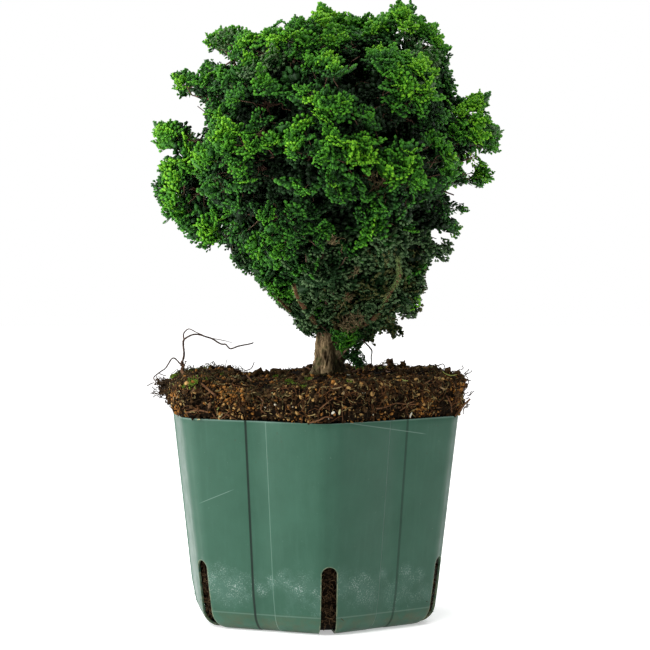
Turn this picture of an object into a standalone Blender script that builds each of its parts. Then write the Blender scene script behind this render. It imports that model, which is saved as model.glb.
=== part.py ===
"""A dwarf conifer in a six-sided green nursery pot, at its real size.

Metres, +Z up. The origin is the middle of the pot's flat underside, and the tree's front faces -Y.
Azimuths are counted in degrees from +X, anticlockwise seen from above, so the front is at 270.
"""

import math
import random
from collections import namedtuple

import bmesh
import bpy
from mathutils import Matrix, Vector, noise

MM = 0.001
GAP = 0.3 * MM  # kept between two pieces that touch
UP = Vector((0.0, 0.0, 1.0))

# The pot. A corner size is the distance from the pot's axis to the sharp corner that the rounding cuts.
SIDES = 6
POT_TURN = math.radians(277.0)
POT_HEIGHT = 108.8 * MM
RIM_CORNER = 82.4 * MM
WALL_FOOT_CORNER = 70.2 * MM
WALL_FOOT_HEIGHT = 11.0 * MM
FOOT_CORNER = 59.3 * MM
CORNER_ROUNDING = 13.0 * MM
CORNER_STEPS = 3
FOOT_STEPS = 3
WALL = 1.2 * MM
FLUTE_WIDTH = 11.0 * MM
FLUTE_EDGE = 0.6 * MM
FLUTE_DEPTH = 0.7 * MM
SLIT_WIDTH = 8.0 * MM
SLIT_HEIGHT = 35.5 * MM
SLIT_UNDER_FOOT = 13.0 * MM

# The root ball, which stands proud of the rim and swells out over it
BALL_CLEARANCE = 0.6 * MM
SOIL_TOP = 128.0 * MM
SOIL_CORNER = 86.0 * MM
SOIL_ROUNDING = 24.0 * MM
SOIL_ROUGHNESS = 1.6 * MM
SEAT_RADIUS = 17.0 * MM
BALL_CORNER_STEPS = 3

# The trunk, from its cut at the soil to its tip under the top of the crown
TRUNK_X = 7.1 * MM
TRUNK_TIP = 289.0 * MM
TRUNK_SWAY = 1.6 * MM
TRUNK_POINTS = 12
TRUNK_SIZES = ((0.0, 8.4 * MM), (0.06, 7.4 * MM), (0.13, 7.0 * MM), (0.25, 5.2 * MM), (0.6, 3.0 * MM), (1.0, 1.5 * MM))
FLARE_HEIGHT = 11.0 * MM
FLARE_DEPTH = 3.6 * MM
FLARE_RIDGES = 5

# The boughs
BOUGH_FOOT_RADIUS = 2.7 * MM
BOUGH_TIP_RADIUS = 1.6 * MM
BOUGH_POINTS = 5
BOUGH_SHARE = 0.5
STEM_RADIUS = 0.9 * MM
STEM_SPREAD = 1.25 * MM

# The foliage
FLATTENING = 0.88  # a mass's height against its width
MASS_GAP = 1.0 * MM
SWELL = 1.35  # a mass on a bough is this much wider than its bulge, and reaches back into the crown
CROWN_MIDDLE = 226.0 * MM
CORE_SHARE = 0.7
FULL_RADIUS = 33.0 * MM
FULL_TWIGS = 22  # tried in a mass of full radius
LEAST_TWIGS = 8
SHORT_REACH = 7.0 * MM
BACK_CONE = 0.35  # no twig grows this nearly back towards the trunk
TWIG_RADIUS = 0.8 * MM
SPRAY_LENGTH = 17.0 * MM
SPRAY_WIDTH = 17.0 * MM
SPRAY_THICKNESS = 2.2 * MM
SPRAY_SUNK = 2.5 * MM  # how far a twig runs into its spray
SPRAY_CUP = 1.6 * MM
SPRAY_OUTLINE = ((1.0, 0.0), (0.45, 0.42), (0.5, 1.0), (-0.35, 0.4), (-1.0, 0.0))  # one side, tip to root
LEAST_SPRAY = 0.45

Pad = namedtuple("Pad", "name azimuth height distance radius")
Bough = namedtuple("Bough", "name foot pads")
Mass = namedtuple("Mass", "name centre radius")
Limb = namedtuple("Limb", "name points radii")
Plane = namedtuple("Plane", "point normal")

# Each bough with the height of its foot, and each bulge of foliage with where it stands round the trunk, in mm.
# The last few masses have no bough: their thin stems come straight out of the trunk.
BOUGHS = (
    Bough("left_front_foot", 149, (Pad("front_left_low", 247, 209, 60, 25), Pad("left_under", 199, 204, 56, 21))),
    Bough("right_front_foot", 146, (Pad("right_low", 347, 200, 54, 20), Pad("front_right_low", 297, 209, 56, 23))),
    Bough("back_foot", 154, (Pad("back_low", 91, 213, 58, 25), Pad("back_left_low", 137, 209, 61, 23))),
    Bough("left", 162, (Pad("left_low", 186, 226, 72, 22), Pad("left_mid", 180, 253, 75, 19))),
    Bough("right", 158, (Pad("right_mid", 357, 226, 66, 21), Pad("right_high", 352, 256, 73, 22))),
    Bough("front", 168, (Pad("front_mid", 270, 240, 74, 26), Pad("front_high", 272, 270, 68, 25))),
    Bough("front_left", 178, (Pad("front_left_mid", 238, 241, 73, 26), Pad("front_left_high", 237, 272, 62, 25))),
    Bough("front_right", 188, (Pad("front_right_mid", 303, 236, 71, 26), Pad("front_right_high", 302, 274, 66, 25))),
    Bough("right_back", 166, (Pad("back_right_outer", 35, 238, 76, 24), Pad("back_right_low", 47, 206, 58, 22))),
    Bough("back", 177, (Pad("back_right_mid", 73, 250, 78, 26), Pad("back_mid", 104, 250, 78, 26))),
    Bough("back_left", 186, (Pad("back_left_mid", 144, 241, 76, 25), Pad("back_left_high", 133, 280, 64, 25))),
    Bough("left_high", 200, (Pad("left_high", 187, 277, 67, 19), Pad("shoulder_left", 182, 299, 53, 19))),
    Bough("right_high", 208, (Pad("shoulder_right", 4, 287, 55, 20), Pad("back_right_high", 49, 279, 67, 26))),
    Bough("top_back", 236, (Pad("back_top", 89, 297, 50, 26),)),
    Bough("top_left", 246, (Pad("top_left", 239, 300, 38, 25),)),
    Bough("top_right", 252, (Pad("top_right", 343, 301, 40, 24),)),
)
LOW_STEMS = (
    Bough("front_low", 157, (Pad("front_low", 269, 190, 40, 25),)),
    Bough("right_under", 141, (Pad("right_under", 343, 178, 38, 19),)),
    Bough("left_skirt", 140, (Pad("left_skirt", 200, 173, 26, 17),)),
    Bough("right_skirt", 131, (Pad("right_skirt", 350, 158, 30, 13),)),
    Bough("sprig", 134, (Pad("sprig", 324, 146, 18, 9),)),
    Bough("back_skirt", 150, (Pad("back_skirt", 76, 180, 25, 21),)),
)
TIP_PAD = Pad("top", 73, 306, 17, 23)

# The dry stem that stands in the soil at the left, as x and z in mm from the pot's axis
DRY_STEM_RADIUS = 0.4 * MM
DRY_STEM_FRONT = -6.0 * MM
DRY_STEM_ROUTE = (
    (-69, 127), (-70.5, 134.5), (-69, 138), (-69, 146), (-68.5, 150), (-64, 152.3), (-58, 152),
    (-52, 149), (-47, 147.2), (-44, 145), (-39, 147), (-32, 149),
)

PALETTE = {
    "pot": ((0.06, 0.17, 0.11), 0.5),
    "soil": ((0.09, 0.05, 0.025), 0.95),
    "bark": ((0.16, 0.1, 0.06), 0.85),
    "foliage": ((0.05, 0.19, 0.03), 0.6),
    "dry": ((0.11, 0.07, 0.05), 0.8),
}


def clear_scene():
    for obj in list(bpy.data.objects):
        bpy.data.objects.remove(obj)


def new_collection(name):
    collection = bpy.data.collections.new(name)
    bpy.context.scene.collection.children.link(collection)
    return collection


def material(name):
    """The named finish, made once."""
    found = bpy.data.materials.get(name)
    if found:
        return found
    colour, roughness = PALETTE[name]
    made = bpy.data.materials.new(name)
    made.use_nodes = True
    shader = made.node_tree.nodes["Principled BSDF"]
    shader.inputs["Base Color"].default_value = (*colour, 1.0)
    shader.inputs["Roughness"].default_value = roughness
    shader.inputs["Metallic"].default_value = 0.0
    return made


def object_from(name, bm, collection, finish=None):
    """Turns a bmesh into an object of the collection."""
    mesh = bpy.data.meshes.new(name)
    bm.to_mesh(mesh)
    bm.free()
    obj = bpy.data.objects.new(name, mesh)
    collection.objects.link(obj)
    if finish:
        mesh.materials.append(material(finish))
    return obj


def evaluated_mesh(obj):
    """The object's mesh with its modifiers and bevel applied."""
    bpy.context.view_layer.update()
    graph = bpy.context.evaluated_depsgraph_get()
    return bpy.data.meshes.new_from_object(obj.evaluated_get(graph))


def apply_modifiers(obj):
    mesh = evaluated_mesh(obj)
    obj.modifiers.clear()
    obj.data = mesh


def tube(name, points, radii, sides, collection, finish=None):
    """A round tapering limb along the points: a bevelled curve made a mesh, with its caps welded on."""
    curve = bpy.data.curves.new(name, "CURVE")
    curve.dimensions = "3D"
    curve.bevel_depth = 1.0
    curve.bevel_resolution = (sides - 4) // 2
    curve.use_fill_caps = True
    spline = curve.splines.new("POLY")
    spline.points.add(len(points) - 1)
    for node, point, radius in zip(spline.points, points, radii):
        node.co = (*point, 1.0)
        node.radius = radius
    guide = bpy.data.objects.new(name + "_line", curve)
    collection.objects.link(guide)
    bm = bmesh.new()
    bm.from_mesh(evaluated_mesh(guide))
    bpy.data.objects.remove(guide)
    bmesh.ops.remove_doubles(bm, verts=bm.verts, dist=0.01 * MM)
    bmesh.ops.recalc_face_normals(bm, faces=bm.faces)
    obj = object_from(name, bm, collection, finish)
    obj.data.shade_smooth()
    obj.data.set_sharp_from_angle(angle=math.radians(50))
    return obj


def loft(bm, rings):
    """Joins rings of equal counts with quads, and returns the rings' vertices."""
    loops = [[bm.verts.new(point) for point in ring] for ring in rings]
    for low, high in zip(loops, loops[1:]):
        for i in range(len(low)):
            j = (i + 1) % len(low)
            bm.faces.new((low[i], low[j], high[j], high[i]))
    return loops


# The pot

def hexagon(corner, rounding, steps, flute_depth=0.0):
    """A six-sided outline with rounded corners and, where it has a depth, a flute down the middle of each side."""
    outline = []
    turn = math.tau / SIDES
    for side in range(SIDES):
        at = POT_TURN + side * turn
        hub = Vector((math.cos(at), math.sin(at))) * (corner - rounding / math.cos(turn / 2))
        for step in range(steps + 1):
            a = at + turn * (step / steps - 0.5)
            outline.append(hub + rounding * Vector((math.cos(a), math.sin(a))))
        if flute_depth:
            outward = Vector((math.cos(at + turn / 2), math.sin(at + turn / 2)))
            along = Vector((-outward.y, outward.x))
            face = corner * math.cos(turn / 2)
            half = FLUTE_WIDTH / 2
            for offset, depth in ((-half - FLUTE_EDGE, 0), (-half, flute_depth), (half, flute_depth), (half + FLUTE_EDGE, 0)):
                outline.append(outward * (face - depth) + along * offset)
    return outline


def pot_corner(height):
    """The outside corner size at a height: a quarter round at the foot, then a straight taper."""
    if height >= WALL_FOOT_HEIGHT:
        share = (height - WALL_FOOT_HEIGHT) / (POT_HEIGHT - WALL_FOOT_HEIGHT)
        return WALL_FOOT_CORNER + share * (RIM_CORNER - WALL_FOOT_CORNER)
    rise = 1 - height / WALL_FOOT_HEIGHT
    return FOOT_CORNER + (WALL_FOOT_CORNER - FOOT_CORNER) * math.sqrt(max(0.0, 1 - rise * rise))


def foot_heights():
    """Heights of the rings round the quarter round at the foot."""
    return [WALL_FOOT_HEIGHT * (1 - math.cos(math.pi / 2 * i / FOOT_STEPS)) for i in range(FOOT_STEPS + 1)]


def slit_cutter(index, cutters):
    """A bar with a round top that cuts a corner slit from the wall down and in under the foot."""
    at = POT_TURN + index * math.tau / SIDES
    inner = FOOT_CORNER - SLIT_UNDER_FOOT
    outer = RIM_CORNER + 10 * MM
    bm = bmesh.new()
    bmesh.ops.create_cone(
        bm, cap_ends=True, segments=16, radius1=SLIT_WIDTH / 2, radius2=SLIT_WIDTH / 2, depth=outer - inner,
        matrix=Matrix.Rotation(math.pi / 2, 4, "Y"),
    )
    drop = SLIT_HEIGHT + 10 * MM
    for vert in bm.verts:
        if vert.co.z < 0.1 * MM:
            vert.co.z -= drop
    obj = object_from(f"slit_cutter_{index}", bm, cutters)
    obj.matrix_world = (
        Matrix.Rotation(at, 4, "Z") @ Matrix.Translation(((inner + outer) / 2, 0, SLIT_HEIGHT - SLIT_WIDTH / 2))
    )
    obj.hide_render = True
    obj.display_type = "WIRE"
    return obj


def make_pot(parts, cutters):
    """The outer skin, open at the rim, thickened inwards and slit at its six corners."""
    bm = bmesh.new()
    heights = [*foot_heights(), POT_HEIGHT]
    rings = [
        [(p.x, p.y, z) for p in hexagon(pot_corner(z), CORNER_ROUNDING, CORNER_STEPS, FLUTE_DEPTH)]
        for z in heights
    ]
    loops = loft(bm, rings)
    bm.faces.new(reversed(loops[0]))
    obj = object_from("pot", bm, parts, "pot")
    wall = obj.modifiers.new("wall", "SOLIDIFY")
    wall.thickness = WALL
    wall.offset = -1
    wall.use_even_offset = True
    for index in range(SIDES):
        slit = obj.modifiers.new(f"slit_{index}", "BOOLEAN")
        slit.operation = "DIFFERENCE"
        slit.object = slit_cutter(index, cutters)
    return obj


# The root ball

def roughened(point, amount):
    """The point moved by seeded noise, more up and down than sideways."""
    shift = noise.noise_vector(Vector(point) * 70) * amount
    return (point[0] + shift.x * 0.7, point[1] + shift.y * 0.7, point[2] + shift.z)


def make_root_ball(parts):
    """Soil and roots: the pot's inside less a clearance, then a rough swollen top with a flat seat for the trunk."""
    inset = (WALL + FLUTE_DEPTH + BALL_CLEARANCE) / math.cos(math.pi / SIDES)
    floor = WALL + GAP
    levels = [(pot_corner(z) - inset, z + floor, CORNER_ROUNDING) for z in foot_heights()]
    levels.append((RIM_CORNER - inset, POT_HEIGHT + 2 * GAP, CORNER_ROUNDING))
    rings = [[(p.x, p.y, z) for p in hexagon(c, r, BALL_CORNER_STEPS)] for c, z, r in levels]
    rim_top = POT_HEIGHT + 2 * GAP
    rings.append([(p.x, p.y, rim_top) for p in hexagon(SOIL_CORNER - 1.5 * MM, SOIL_ROUNDING * 0.8, BALL_CORNER_STEPS)])
    crust = (
        (SOIL_CORNER, 0.3), (SOIL_CORNER, 0.62), (SOIL_CORNER - 4 * MM, 0.9),
        (SOIL_CORNER - 12 * MM, 1.0), (SOIL_CORNER * 0.52, 1.02),
    )
    for corner, share in crust:
        z = rim_top + (SOIL_TOP - rim_top) * share
        outline = hexagon(corner, min(SOIL_ROUNDING, corner * 0.6), BALL_CORNER_STEPS)
        rings.append([roughened((p.x, p.y, z), SOIL_ROUGHNESS) for p in outline])
    seat = hexagon(SEAT_RADIUS, SEAT_RADIUS * 0.85, BALL_CORNER_STEPS)
    rings.append([(p.x + TRUNK_X, p.y, SOIL_TOP) for p in seat])
    bm = bmesh.new()
    loops = loft(bm, rings)
    bm.faces.new(reversed(loops[0]))
    bm.faces.new(loops[-1])
    return object_from("root_ball", bm, parts, "soil")


# The trunk and boughs

def trunk_point(height):
    """The trunk's centre line: upright at its foot, then a slight sway."""
    share = (height - SOIL_TOP) / (TRUNK_TIP - SOIL_TOP)
    sway = TRUNK_SWAY * math.sin(share * math.tau) * min(1.0, share * 4)
    return Vector((TRUNK_X + sway, -0.6 * sway, height))


def trunk_radius(height):
    """The trunk's radius, read off its named sizes."""
    share = (height - SOIL_TOP) / (TRUNK_TIP - SOIL_TOP)
    for (low, wide), (high, thin) in zip(TRUNK_SIZES, TRUNK_SIZES[1:]):
        if share <= high:
            return wide + (thin - wide) * (share - low) / (high - low)
    return TRUNK_SIZES[-1][1]


def trunk_limb():
    """Heights crowd towards the foot, where the trunk changes fastest."""
    foot = SOIL_TOP + GAP
    shares = [(i / (TRUNK_POINTS - 1)) ** 1.5 for i in range(TRUNK_POINTS)]
    heights = [foot + (TRUNK_TIP - foot) * share for share in shares]
    return Limb("trunk", [trunk_point(z) for z in heights], [trunk_radius(z) for z in heights])


def trunk_solid(name, swell, collection, finish=None):
    """The trunk, swollen by a clearance where it serves as a cutter, with ridges of root flare at its foot."""
    limb = trunk_limb()
    obj = tube(name, limb.points, [radius + swell for radius in limb.radii], 12, collection, finish)
    for vert in obj.data.vertices:
        rise = vert.co.z - SOIL_TOP
        out = Vector((vert.co.x - TRUNK_X, vert.co.y, 0.0))
        if rise < FLARE_HEIGHT and out.length > MM:
            ridge = 0.7 + 0.3 * math.cos(FLARE_RIDGES * math.atan2(out.y, out.x) + 1.0)
            vert.co += out.normalized() * FLARE_DEPTH * ridge * (1 - rise / FLARE_HEIGHT) ** 2
    return obj


def mass_at(pad, swell=1.0):
    """The mass behind a bulge: swollen back towards the crown's middle, so the bulge stays where it is."""
    a = math.radians(pad.azimuth)
    bulge = Vector((TRUNK_X / MM + pad.distance * math.cos(a), pad.distance * math.sin(a), pad.height)) * MM
    inward = (Vector((TRUNK_X, 0.0, CROWN_MIDDLE)) - bulge).normalized()
    radius = pad.radius * MM
    return Mass(pad.name, bulge + inward * radius * (swell - 1), radius * swell)


def bough_limb(bough):
    """A bough leaves the trunk outwards, bends up, and ends short of the masses that it bears."""
    foot = trunk_point(bough.foot * MM)
    aim = sum((mass_at(pad, SWELL).centre for pad in bough.pads), Vector()) / len(bough.pads)
    tip = foot.lerp(aim, BOUGH_SHARE)
    run = tip - foot
    bend = foot + Vector((run.x, run.y, 0.0)) * 0.55 + UP * run.z * 0.3
    points = []
    for i in range(BOUGH_POINTS):
        t = i / (BOUGH_POINTS - 1)
        points.append((1 - t) ** 2 * foot + 2 * t * (1 - t) * bend + t * t * tip)
    thick = min(BOUGH_FOOT_RADIUS, 0.75 * trunk_radius(bough.foot * MM))
    radii = [thick + (BOUGH_TIP_RADIUS - thick) * i / (BOUGH_POINTS - 1) for i in range(BOUGH_POINTS)]
    return Limb("bough_" + bough.name, points, radii)


def difference(obj, cutter):
    cut = obj.modifiers.new("cut", "BOOLEAN")
    cut.operation = "DIFFERENCE"
    cut.object = cutter
    apply_modifiers(obj)


# The foliage

def stem_limb(mass, carrier, side):
    """The stem of a mass: straight off the end of its bough, and on to the heart."""
    tip = carrier.points[-1]
    ahead = (tip - carrier.points[-2]).normalized()
    start = tip + ahead * GAP + side * STEM_SPREAD
    return Limb(mass.name + "_stem", [start, start + ahead * 3 * MM, mass.centre], [STEM_RADIUS] * 3)


def low_stem_limb(low, mass):
    """A stem that comes straight out of the trunk's foot, under the boughs."""
    foot = trunk_point(low.foot * MM)
    points = [foot, foot.lerp(mass.centre, 0.5), mass.centre]
    return Limb(mass.name + "_stem", points, [STEM_RADIUS * 1.2] * 3)


def stems_on(carrier, masses):
    """The stems that start side by side on one bough's end."""
    ahead = (carrier.points[-1] - carrier.points[-2]).normalized()
    if len(masses) == 1:
        return [stem_limb(masses[0], carrier, Vector())]
    apart = masses[0].centre - masses[1].centre
    side = (apart - ahead * apart.dot(ahead)).normalized()
    return [stem_limb(masses[0], carrier, side), stem_limb(masses[1], carrier, -side)]


def nearest_on(limb, point):
    """The nearest points to point on each straight stretch of a limb, with the limb's radius there."""
    for a, b, ra, rb in zip(limb.points, limb.points[1:], limb.radii, limb.radii[1:]):
        along = b - a
        share = max(0.0, min(1.0, (point - a).dot(along) / along.length_squared))
        yield a + along * share, max(ra, rb)


class Space:
    """The convex space that one mass keeps to: a flattened ball, cut off by planes towards its neighbours."""

    def __init__(self, mass):
        self.centre = mass.centre
        self.radii = Vector((1.0, 1.0, FLATTENING)) * mass.radius
        self.planes = []

    def half_width(self, way):
        return math.sqrt(sum((r * w) ** 2 for r, w in zip(self.radii, way)))

    def keep_off_limb(self, limb):
        for near, radius in nearest_on(limb, self.centre):
            off = self.centre - near
            way = off.normalized()
            if off.length < self.half_width(way) + radius + 2 * GAP:
                self.planes.append(Plane(near + way * (radius + 2 * GAP), way))

    def keep_off_space(self, other):
        off = other.centre - self.centre
        way = off.normalized()
        mine, theirs = self.half_width(way), other.half_width(way)
        if off.length < mine + theirs + MASS_GAP:
            share = off.length * mine / (mine + theirs) - MASS_GAP / 2
            self.planes.append(Plane(self.centre + way * share, -way))

    def keep_above(self, height):
        if self.centre.z - self.half_width(UP) < height:
            self.planes.append(Plane(Vector((0.0, 0.0, height)), UP))

    def holds(self, point):
        off = point - self.centre
        inside = sum((o / r) ** 2 for o, r in zip(off, self.radii)) <= 1.0
        return inside and all((point - plane.point).dot(plane.normal) >= 0 for plane in self.planes)

    def reach(self, way, share=1.0):
        """How far the space, or a ball that is a share of its size, goes from its heart in a direction."""
        far = share / math.sqrt(sum((w / r) ** 2 for w, r in zip(way, self.radii)))
        for plane in self.planes:
            closing = -way.dot(plane.normal)
            if closing > 1e-6:
                far = min(far, (self.centre - plane.point).dot(plane.normal) / closing)
        return far


def spread_ways(count, rng):
    """Directions spread evenly over a ball by the golden angle, turned and shaken by the seed."""
    golden = math.pi * (3 - math.sqrt(5))
    turn = rng.uniform(0, math.tau)
    for i in range(count):
        z = 1 - 2 * (i + 0.5) / count
        ring = math.sqrt(1 - z * z)
        a = turn + i * golden
        way = Vector((ring * math.cos(a), ring * math.sin(a), z))
        way += Vector((rng.uniform(-0.15, 0.15) for _ in range(3)))
        yield way.normalized()


def spray(name, root, way, face, size, collection):
    """One flat spray: its toothed outline and a low point on either side, so that its edges are thin."""
    bm = bmesh.new()
    teeth = 2 * (len(SPRAY_OUTLINE) - 1)
    bmesh.ops.create_uvsphere(bm, u_segments=teeth, v_segments=2, radius=1.0)
    across = face.cross(way).normalized()
    face = way.cross(across)
    for vert in bm.verts:
        if abs(vert.co.z) > 0.5:
            x, y, z = 0.0, 0.0, math.copysign(SPRAY_THICKNESS / 2, vert.co.z)
        else:
            turn = round(math.atan2(vert.co.y, vert.co.x) / math.tau * teeth)
            x, y = SPRAY_OUTLINE[abs(turn)]
            y = math.copysign(y, turn)
            z = -SPRAY_CUP * y * y
        vert.co = root + size * (way * SPRAY_LENGTH * (1 + x) / 2 + across * SPRAY_WIDTH * y / 2 + face * z)
    bmesh.ops.recalc_face_normals(bm, faces=bm.faces)
    return object_from(name, bm, collection)


def fitting_spray(name, root, way, face, size, space, collection):
    """A spray made smaller until its space holds it, or none."""
    while size >= LEAST_SPRAY:
        obj = spray(name, root, way, face, size, collection)
        if all(space.holds(vert.co) for vert in obj.data.vertices):
            return obj
        bpy.data.objects.remove(obj)
        size *= 0.9
    return None


def twig(name, start, end, collection):
    """A three-sided tapering twig."""
    run = end - start
    bm = bmesh.new()
    bmesh.ops.create_cone(
        bm, cap_ends=True, segments=3, radius1=TWIG_RADIUS, radius2=TWIG_RADIUS * 0.7, depth=run.length,
        matrix=Matrix.Translation((start + end) / 2) @ run.to_track_quat("Z", "Y").to_matrix().to_4x4(),
    )
    return object_from(name, bm, collection)


def core(name, space, rng, parts):
    """The dense middle of a mass, which its sprays stand out of."""
    bm = bmesh.new()
    bmesh.ops.create_icosphere(bm, subdivisions=1, radius=1.0)
    for vert in bm.verts:
        way = vert.co.normalized()
        vert.co = space.centre + way * space.reach(way, CORE_SHARE * rng.uniform(0.9, 1.15)) * 0.98
    return object_from(name, bm, parts, "foliage")


def keep_main_body(obj):
    """Drops what fusing left apart: loose scraps, and the skins of sealed hollows, which fills them."""
    bm = bmesh.new()
    bm.from_mesh(obj.data)
    left, bodies = set(bm.verts), []
    while left:
        body, edge = set(), [left.pop()]
        while edge:
            vert = edge.pop()
            body.add(vert)
            beside = {e.other_vert(vert) for e in vert.link_edges} & left
            left -= beside
            edge += beside
        bodies.append(body)
    bodies.sort(key=len)
    bmesh.ops.delete(bm, geom=[vert for body in bodies[:-1] for vert in body], context="VERTS")
    bm.to_mesh(obj.data)
    bm.free()


def grow(name, space, stem, rng, pieces):
    """Twigs that fan out from the heart: some end in a spray at the space's edge, others bear one that lies over it."""
    back = (stem.points[0] - space.centre).normalized()
    count = max(LEAST_TWIGS, round(FULL_TWIGS * (space.radii.x / FULL_RADIUS) ** 2))
    for index, way in enumerate(spread_ways(count, rng)):
        reach = space.reach(way)
        if way.dot(back) > BACK_CONE or reach < SHORT_REACH:
            continue
        size = min(1.0, reach / FULL_RADIUS * 1.15) * rng.uniform(0.92, 1.08)
        swing = Vector((rng.uniform(-1, 1), rng.uniform(-1, 1), rng.uniform(-0.4, 0.8)))
        if index % 5 < 3:
            root = space.centre + way * (reach * 0.985 - SPRAY_LENGTH * size)
            aim, face = way, way.cross(swing)
            twig(f"{name}_twig_{index}", space.centre.copy(), root + way * SPRAY_SUNK, pieces)
        else:
            root = space.centre + way * space.reach(way, CORE_SHARE) * 0.7
            aim, face = (way * 0.6 + (UP + swing * 0.6).normalized()).normalized(), way + swing * 0.3
        fitting_spray(f"{name}_spray_{index}", root, aim, face, size, space, pieces)


def make_mass(name, space, stem, seed, parts):
    """A mass of foliage: its core, its stem and its twigs and sprays, fused into one."""
    rng = random.Random(seed)
    pieces = new_collection("pieces_" + name)
    tube(stem.name, stem.points, stem.radii, 4, pieces)
    grow(name, space, stem, rng, pieces)
    mass = core("foliage_" + name, space, rng, parts)
    union = mass.modifiers.new("fuse", "BOOLEAN")
    union.operation = "UNION"
    union.operand_type = "COLLECTION"
    union.collection = pieces
    apply_modifiers(mass)
    for obj in list(pieces.objects):
        bpy.data.objects.remove(obj)
    bpy.data.collections.remove(pieces)
    keep_main_body(mass)
    return mass


def make_foliage(trunk, boughs, cutter, parts):
    """Shares the crown out among the masses, then grows each in its own space."""
    masses, stems = [], []
    for pads, limb in zip([*(bough.pads for bough in BOUGHS), (TIP_PAD,)], [*boughs, trunk]):
        borne = [mass_at(pad, SWELL) for pad in pads]
        masses += borne
        stems += stems_on(limb, borne)
    grown_on_limbs = len(masses)
    for low in LOW_STEMS:
        masses.append(mass_at(low.pads[0]))
        stems.append(low_stem_limb(low, masses[-1]))
    spaces = [Space(mass) for mass in masses]
    for index, space in enumerate(spaces):
        for limb in (trunk, *boughs):
            space.keep_off_limb(limb)
        for other, stem in enumerate(stems):
            if other != index:
                space.keep_off_limb(stem)
                space.keep_off_space(spaces[other])
        space.keep_above(SOIL_TOP + SOIL_ROUGHNESS + MM)
    for index, (mass, space, stem) in enumerate(zip(masses, spaces, stems)):
        made = make_mass(mass.name, space, stem, index, parts)
        if index >= grown_on_limbs:
            difference(made, cutter)


def make_dry_stem(ball, parts):
    """The wiry dead stem, with a bend at each joint and its foot on the soil."""
    points = []
    for index, (x, z) in enumerate(DRY_STEM_ROUTE):
        points.append(Vector((x * MM, DRY_STEM_FRONT + 3 * MM * math.sin(index * 0.8), z * MM)))
    bpy.context.view_layer.update()
    foot = points[0]
    found, seat, _, _ = ball.ray_cast(Vector((foot.x, foot.y, 1.0)), -UP)
    if found:
        foot.z = seat.z + 1.5 * GAP
    radii = [DRY_STEM_RADIUS * (1 - 0.3 * i / (len(points) - 1)) for i in range(len(points))]
    tube("dry_stem", points, radii, 6, parts, "dry")


def main():
    clear_scene()
    parts = new_collection("potted_conifer")
    cutters = new_collection("cutters")
    make_pot(parts, cutters)
    ball = make_root_ball(parts)
    trunk = trunk_limb()
    trunk_solid("trunk", 0.0, parts, "bark")
    cutter = trunk_solid("trunk_cutter", 1.2 * GAP, cutters)
    boughs = [bough_limb(bough) for bough in BOUGHS]
    for limb in boughs:
        difference(tube(limb.name, limb.points, limb.radii, 6, parts, "bark"), cutter)
    make_foliage(trunk, boughs, cutter, parts)
    bpy.data.objects.remove(cutter)
    make_dry_stem(ball, parts)


main()
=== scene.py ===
"""A dwarf conifer in a six-sided green nursery pot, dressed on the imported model's frame.

Metres, +Z up. The tree's front faces -Y. Azimuths count in degrees from +X, anticlockwise from above.
"""

import math
from collections import namedtuple

import bmesh
import bpy
import numpy as np
from mathutils import Matrix, Vector, kdtree, noise


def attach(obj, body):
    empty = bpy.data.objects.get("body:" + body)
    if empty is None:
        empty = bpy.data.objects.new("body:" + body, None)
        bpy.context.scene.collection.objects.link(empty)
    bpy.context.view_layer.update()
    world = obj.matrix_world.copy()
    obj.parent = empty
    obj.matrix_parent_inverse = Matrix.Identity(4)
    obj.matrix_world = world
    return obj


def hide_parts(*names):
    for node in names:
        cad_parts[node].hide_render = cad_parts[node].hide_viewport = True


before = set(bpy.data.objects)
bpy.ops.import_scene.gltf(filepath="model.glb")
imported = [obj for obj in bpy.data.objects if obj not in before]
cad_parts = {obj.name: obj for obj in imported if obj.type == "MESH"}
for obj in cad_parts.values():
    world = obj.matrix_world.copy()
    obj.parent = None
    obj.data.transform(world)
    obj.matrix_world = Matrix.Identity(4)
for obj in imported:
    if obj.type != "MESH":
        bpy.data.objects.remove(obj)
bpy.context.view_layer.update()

MM = 0.001
GAP = 0.3 * MM
UP = np.array((0.0, 0.0, 1.0))
GOLDEN = math.pi * (3 - math.sqrt(5))
NODES = sorted(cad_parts)

# The photograph's view: pixels of a 650 pixel picture to the camera's place
PICTURE = 650
PIXEL = 0.528 * MM  # at the pot's axis
FOCAL = 2400
CAMERA_DISTANCE = FOCAL * PIXEL
CAMERA_HEIGHT = 202.0 * MM
CAMERA_X = 6.4 * MM
CAMERA_PITCH = math.atan(90 / FOCAL)
EYE = np.array((CAMERA_X, -CAMERA_DISTANCE, CAMERA_HEIGHT))

# The light
SKY_LIGHT = 0.24
FLOOR_GLOW = 0.42
TOP_LIGHT = (245, 68, 40, 2.35)  # azimuth, elevation and spread in degrees, power
LAMPS = (  # name, azimuth, elevation, width and distance in metres, power
    ("left_key", 197, 14, 0.55, 0.68, 5.5),
    ("right_fill", 0, 50, 0.6, 0.8, 1.05),
    ("back_left", 130, 42, 0.6, 0.9, 3.2),
    ("back_right", 50, 38, 0.6, 0.9, 2.4),
)

# The pot
SIDES = 6
POT_TURN = math.radians(277.0)
POT_HEIGHT = 108.8 * MM
RIM_CORNER = 82.4 * MM
WALL_FOOT_CORNER = 70.2 * MM
WALL_FOOT_HEIGHT = 11.0 * MM
FOOT_CORNER = 59.3 * MM
CORNER_ROUNDING = 13.0 * MM
WALL = 1.2 * MM
FLUTE_WIDTH = 11.0 * MM
FLUTE_EDGE = 0.6 * MM
FLUTE_DEPTH = 0.7 * MM
PANEL_BOW = 2.2 * MM
SLIT_WIDTH = 8.0 * MM
SLIT_HEIGHT = 35.5 * MM
SLIT_UNDER_FOOT = 13.0 * MM

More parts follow.
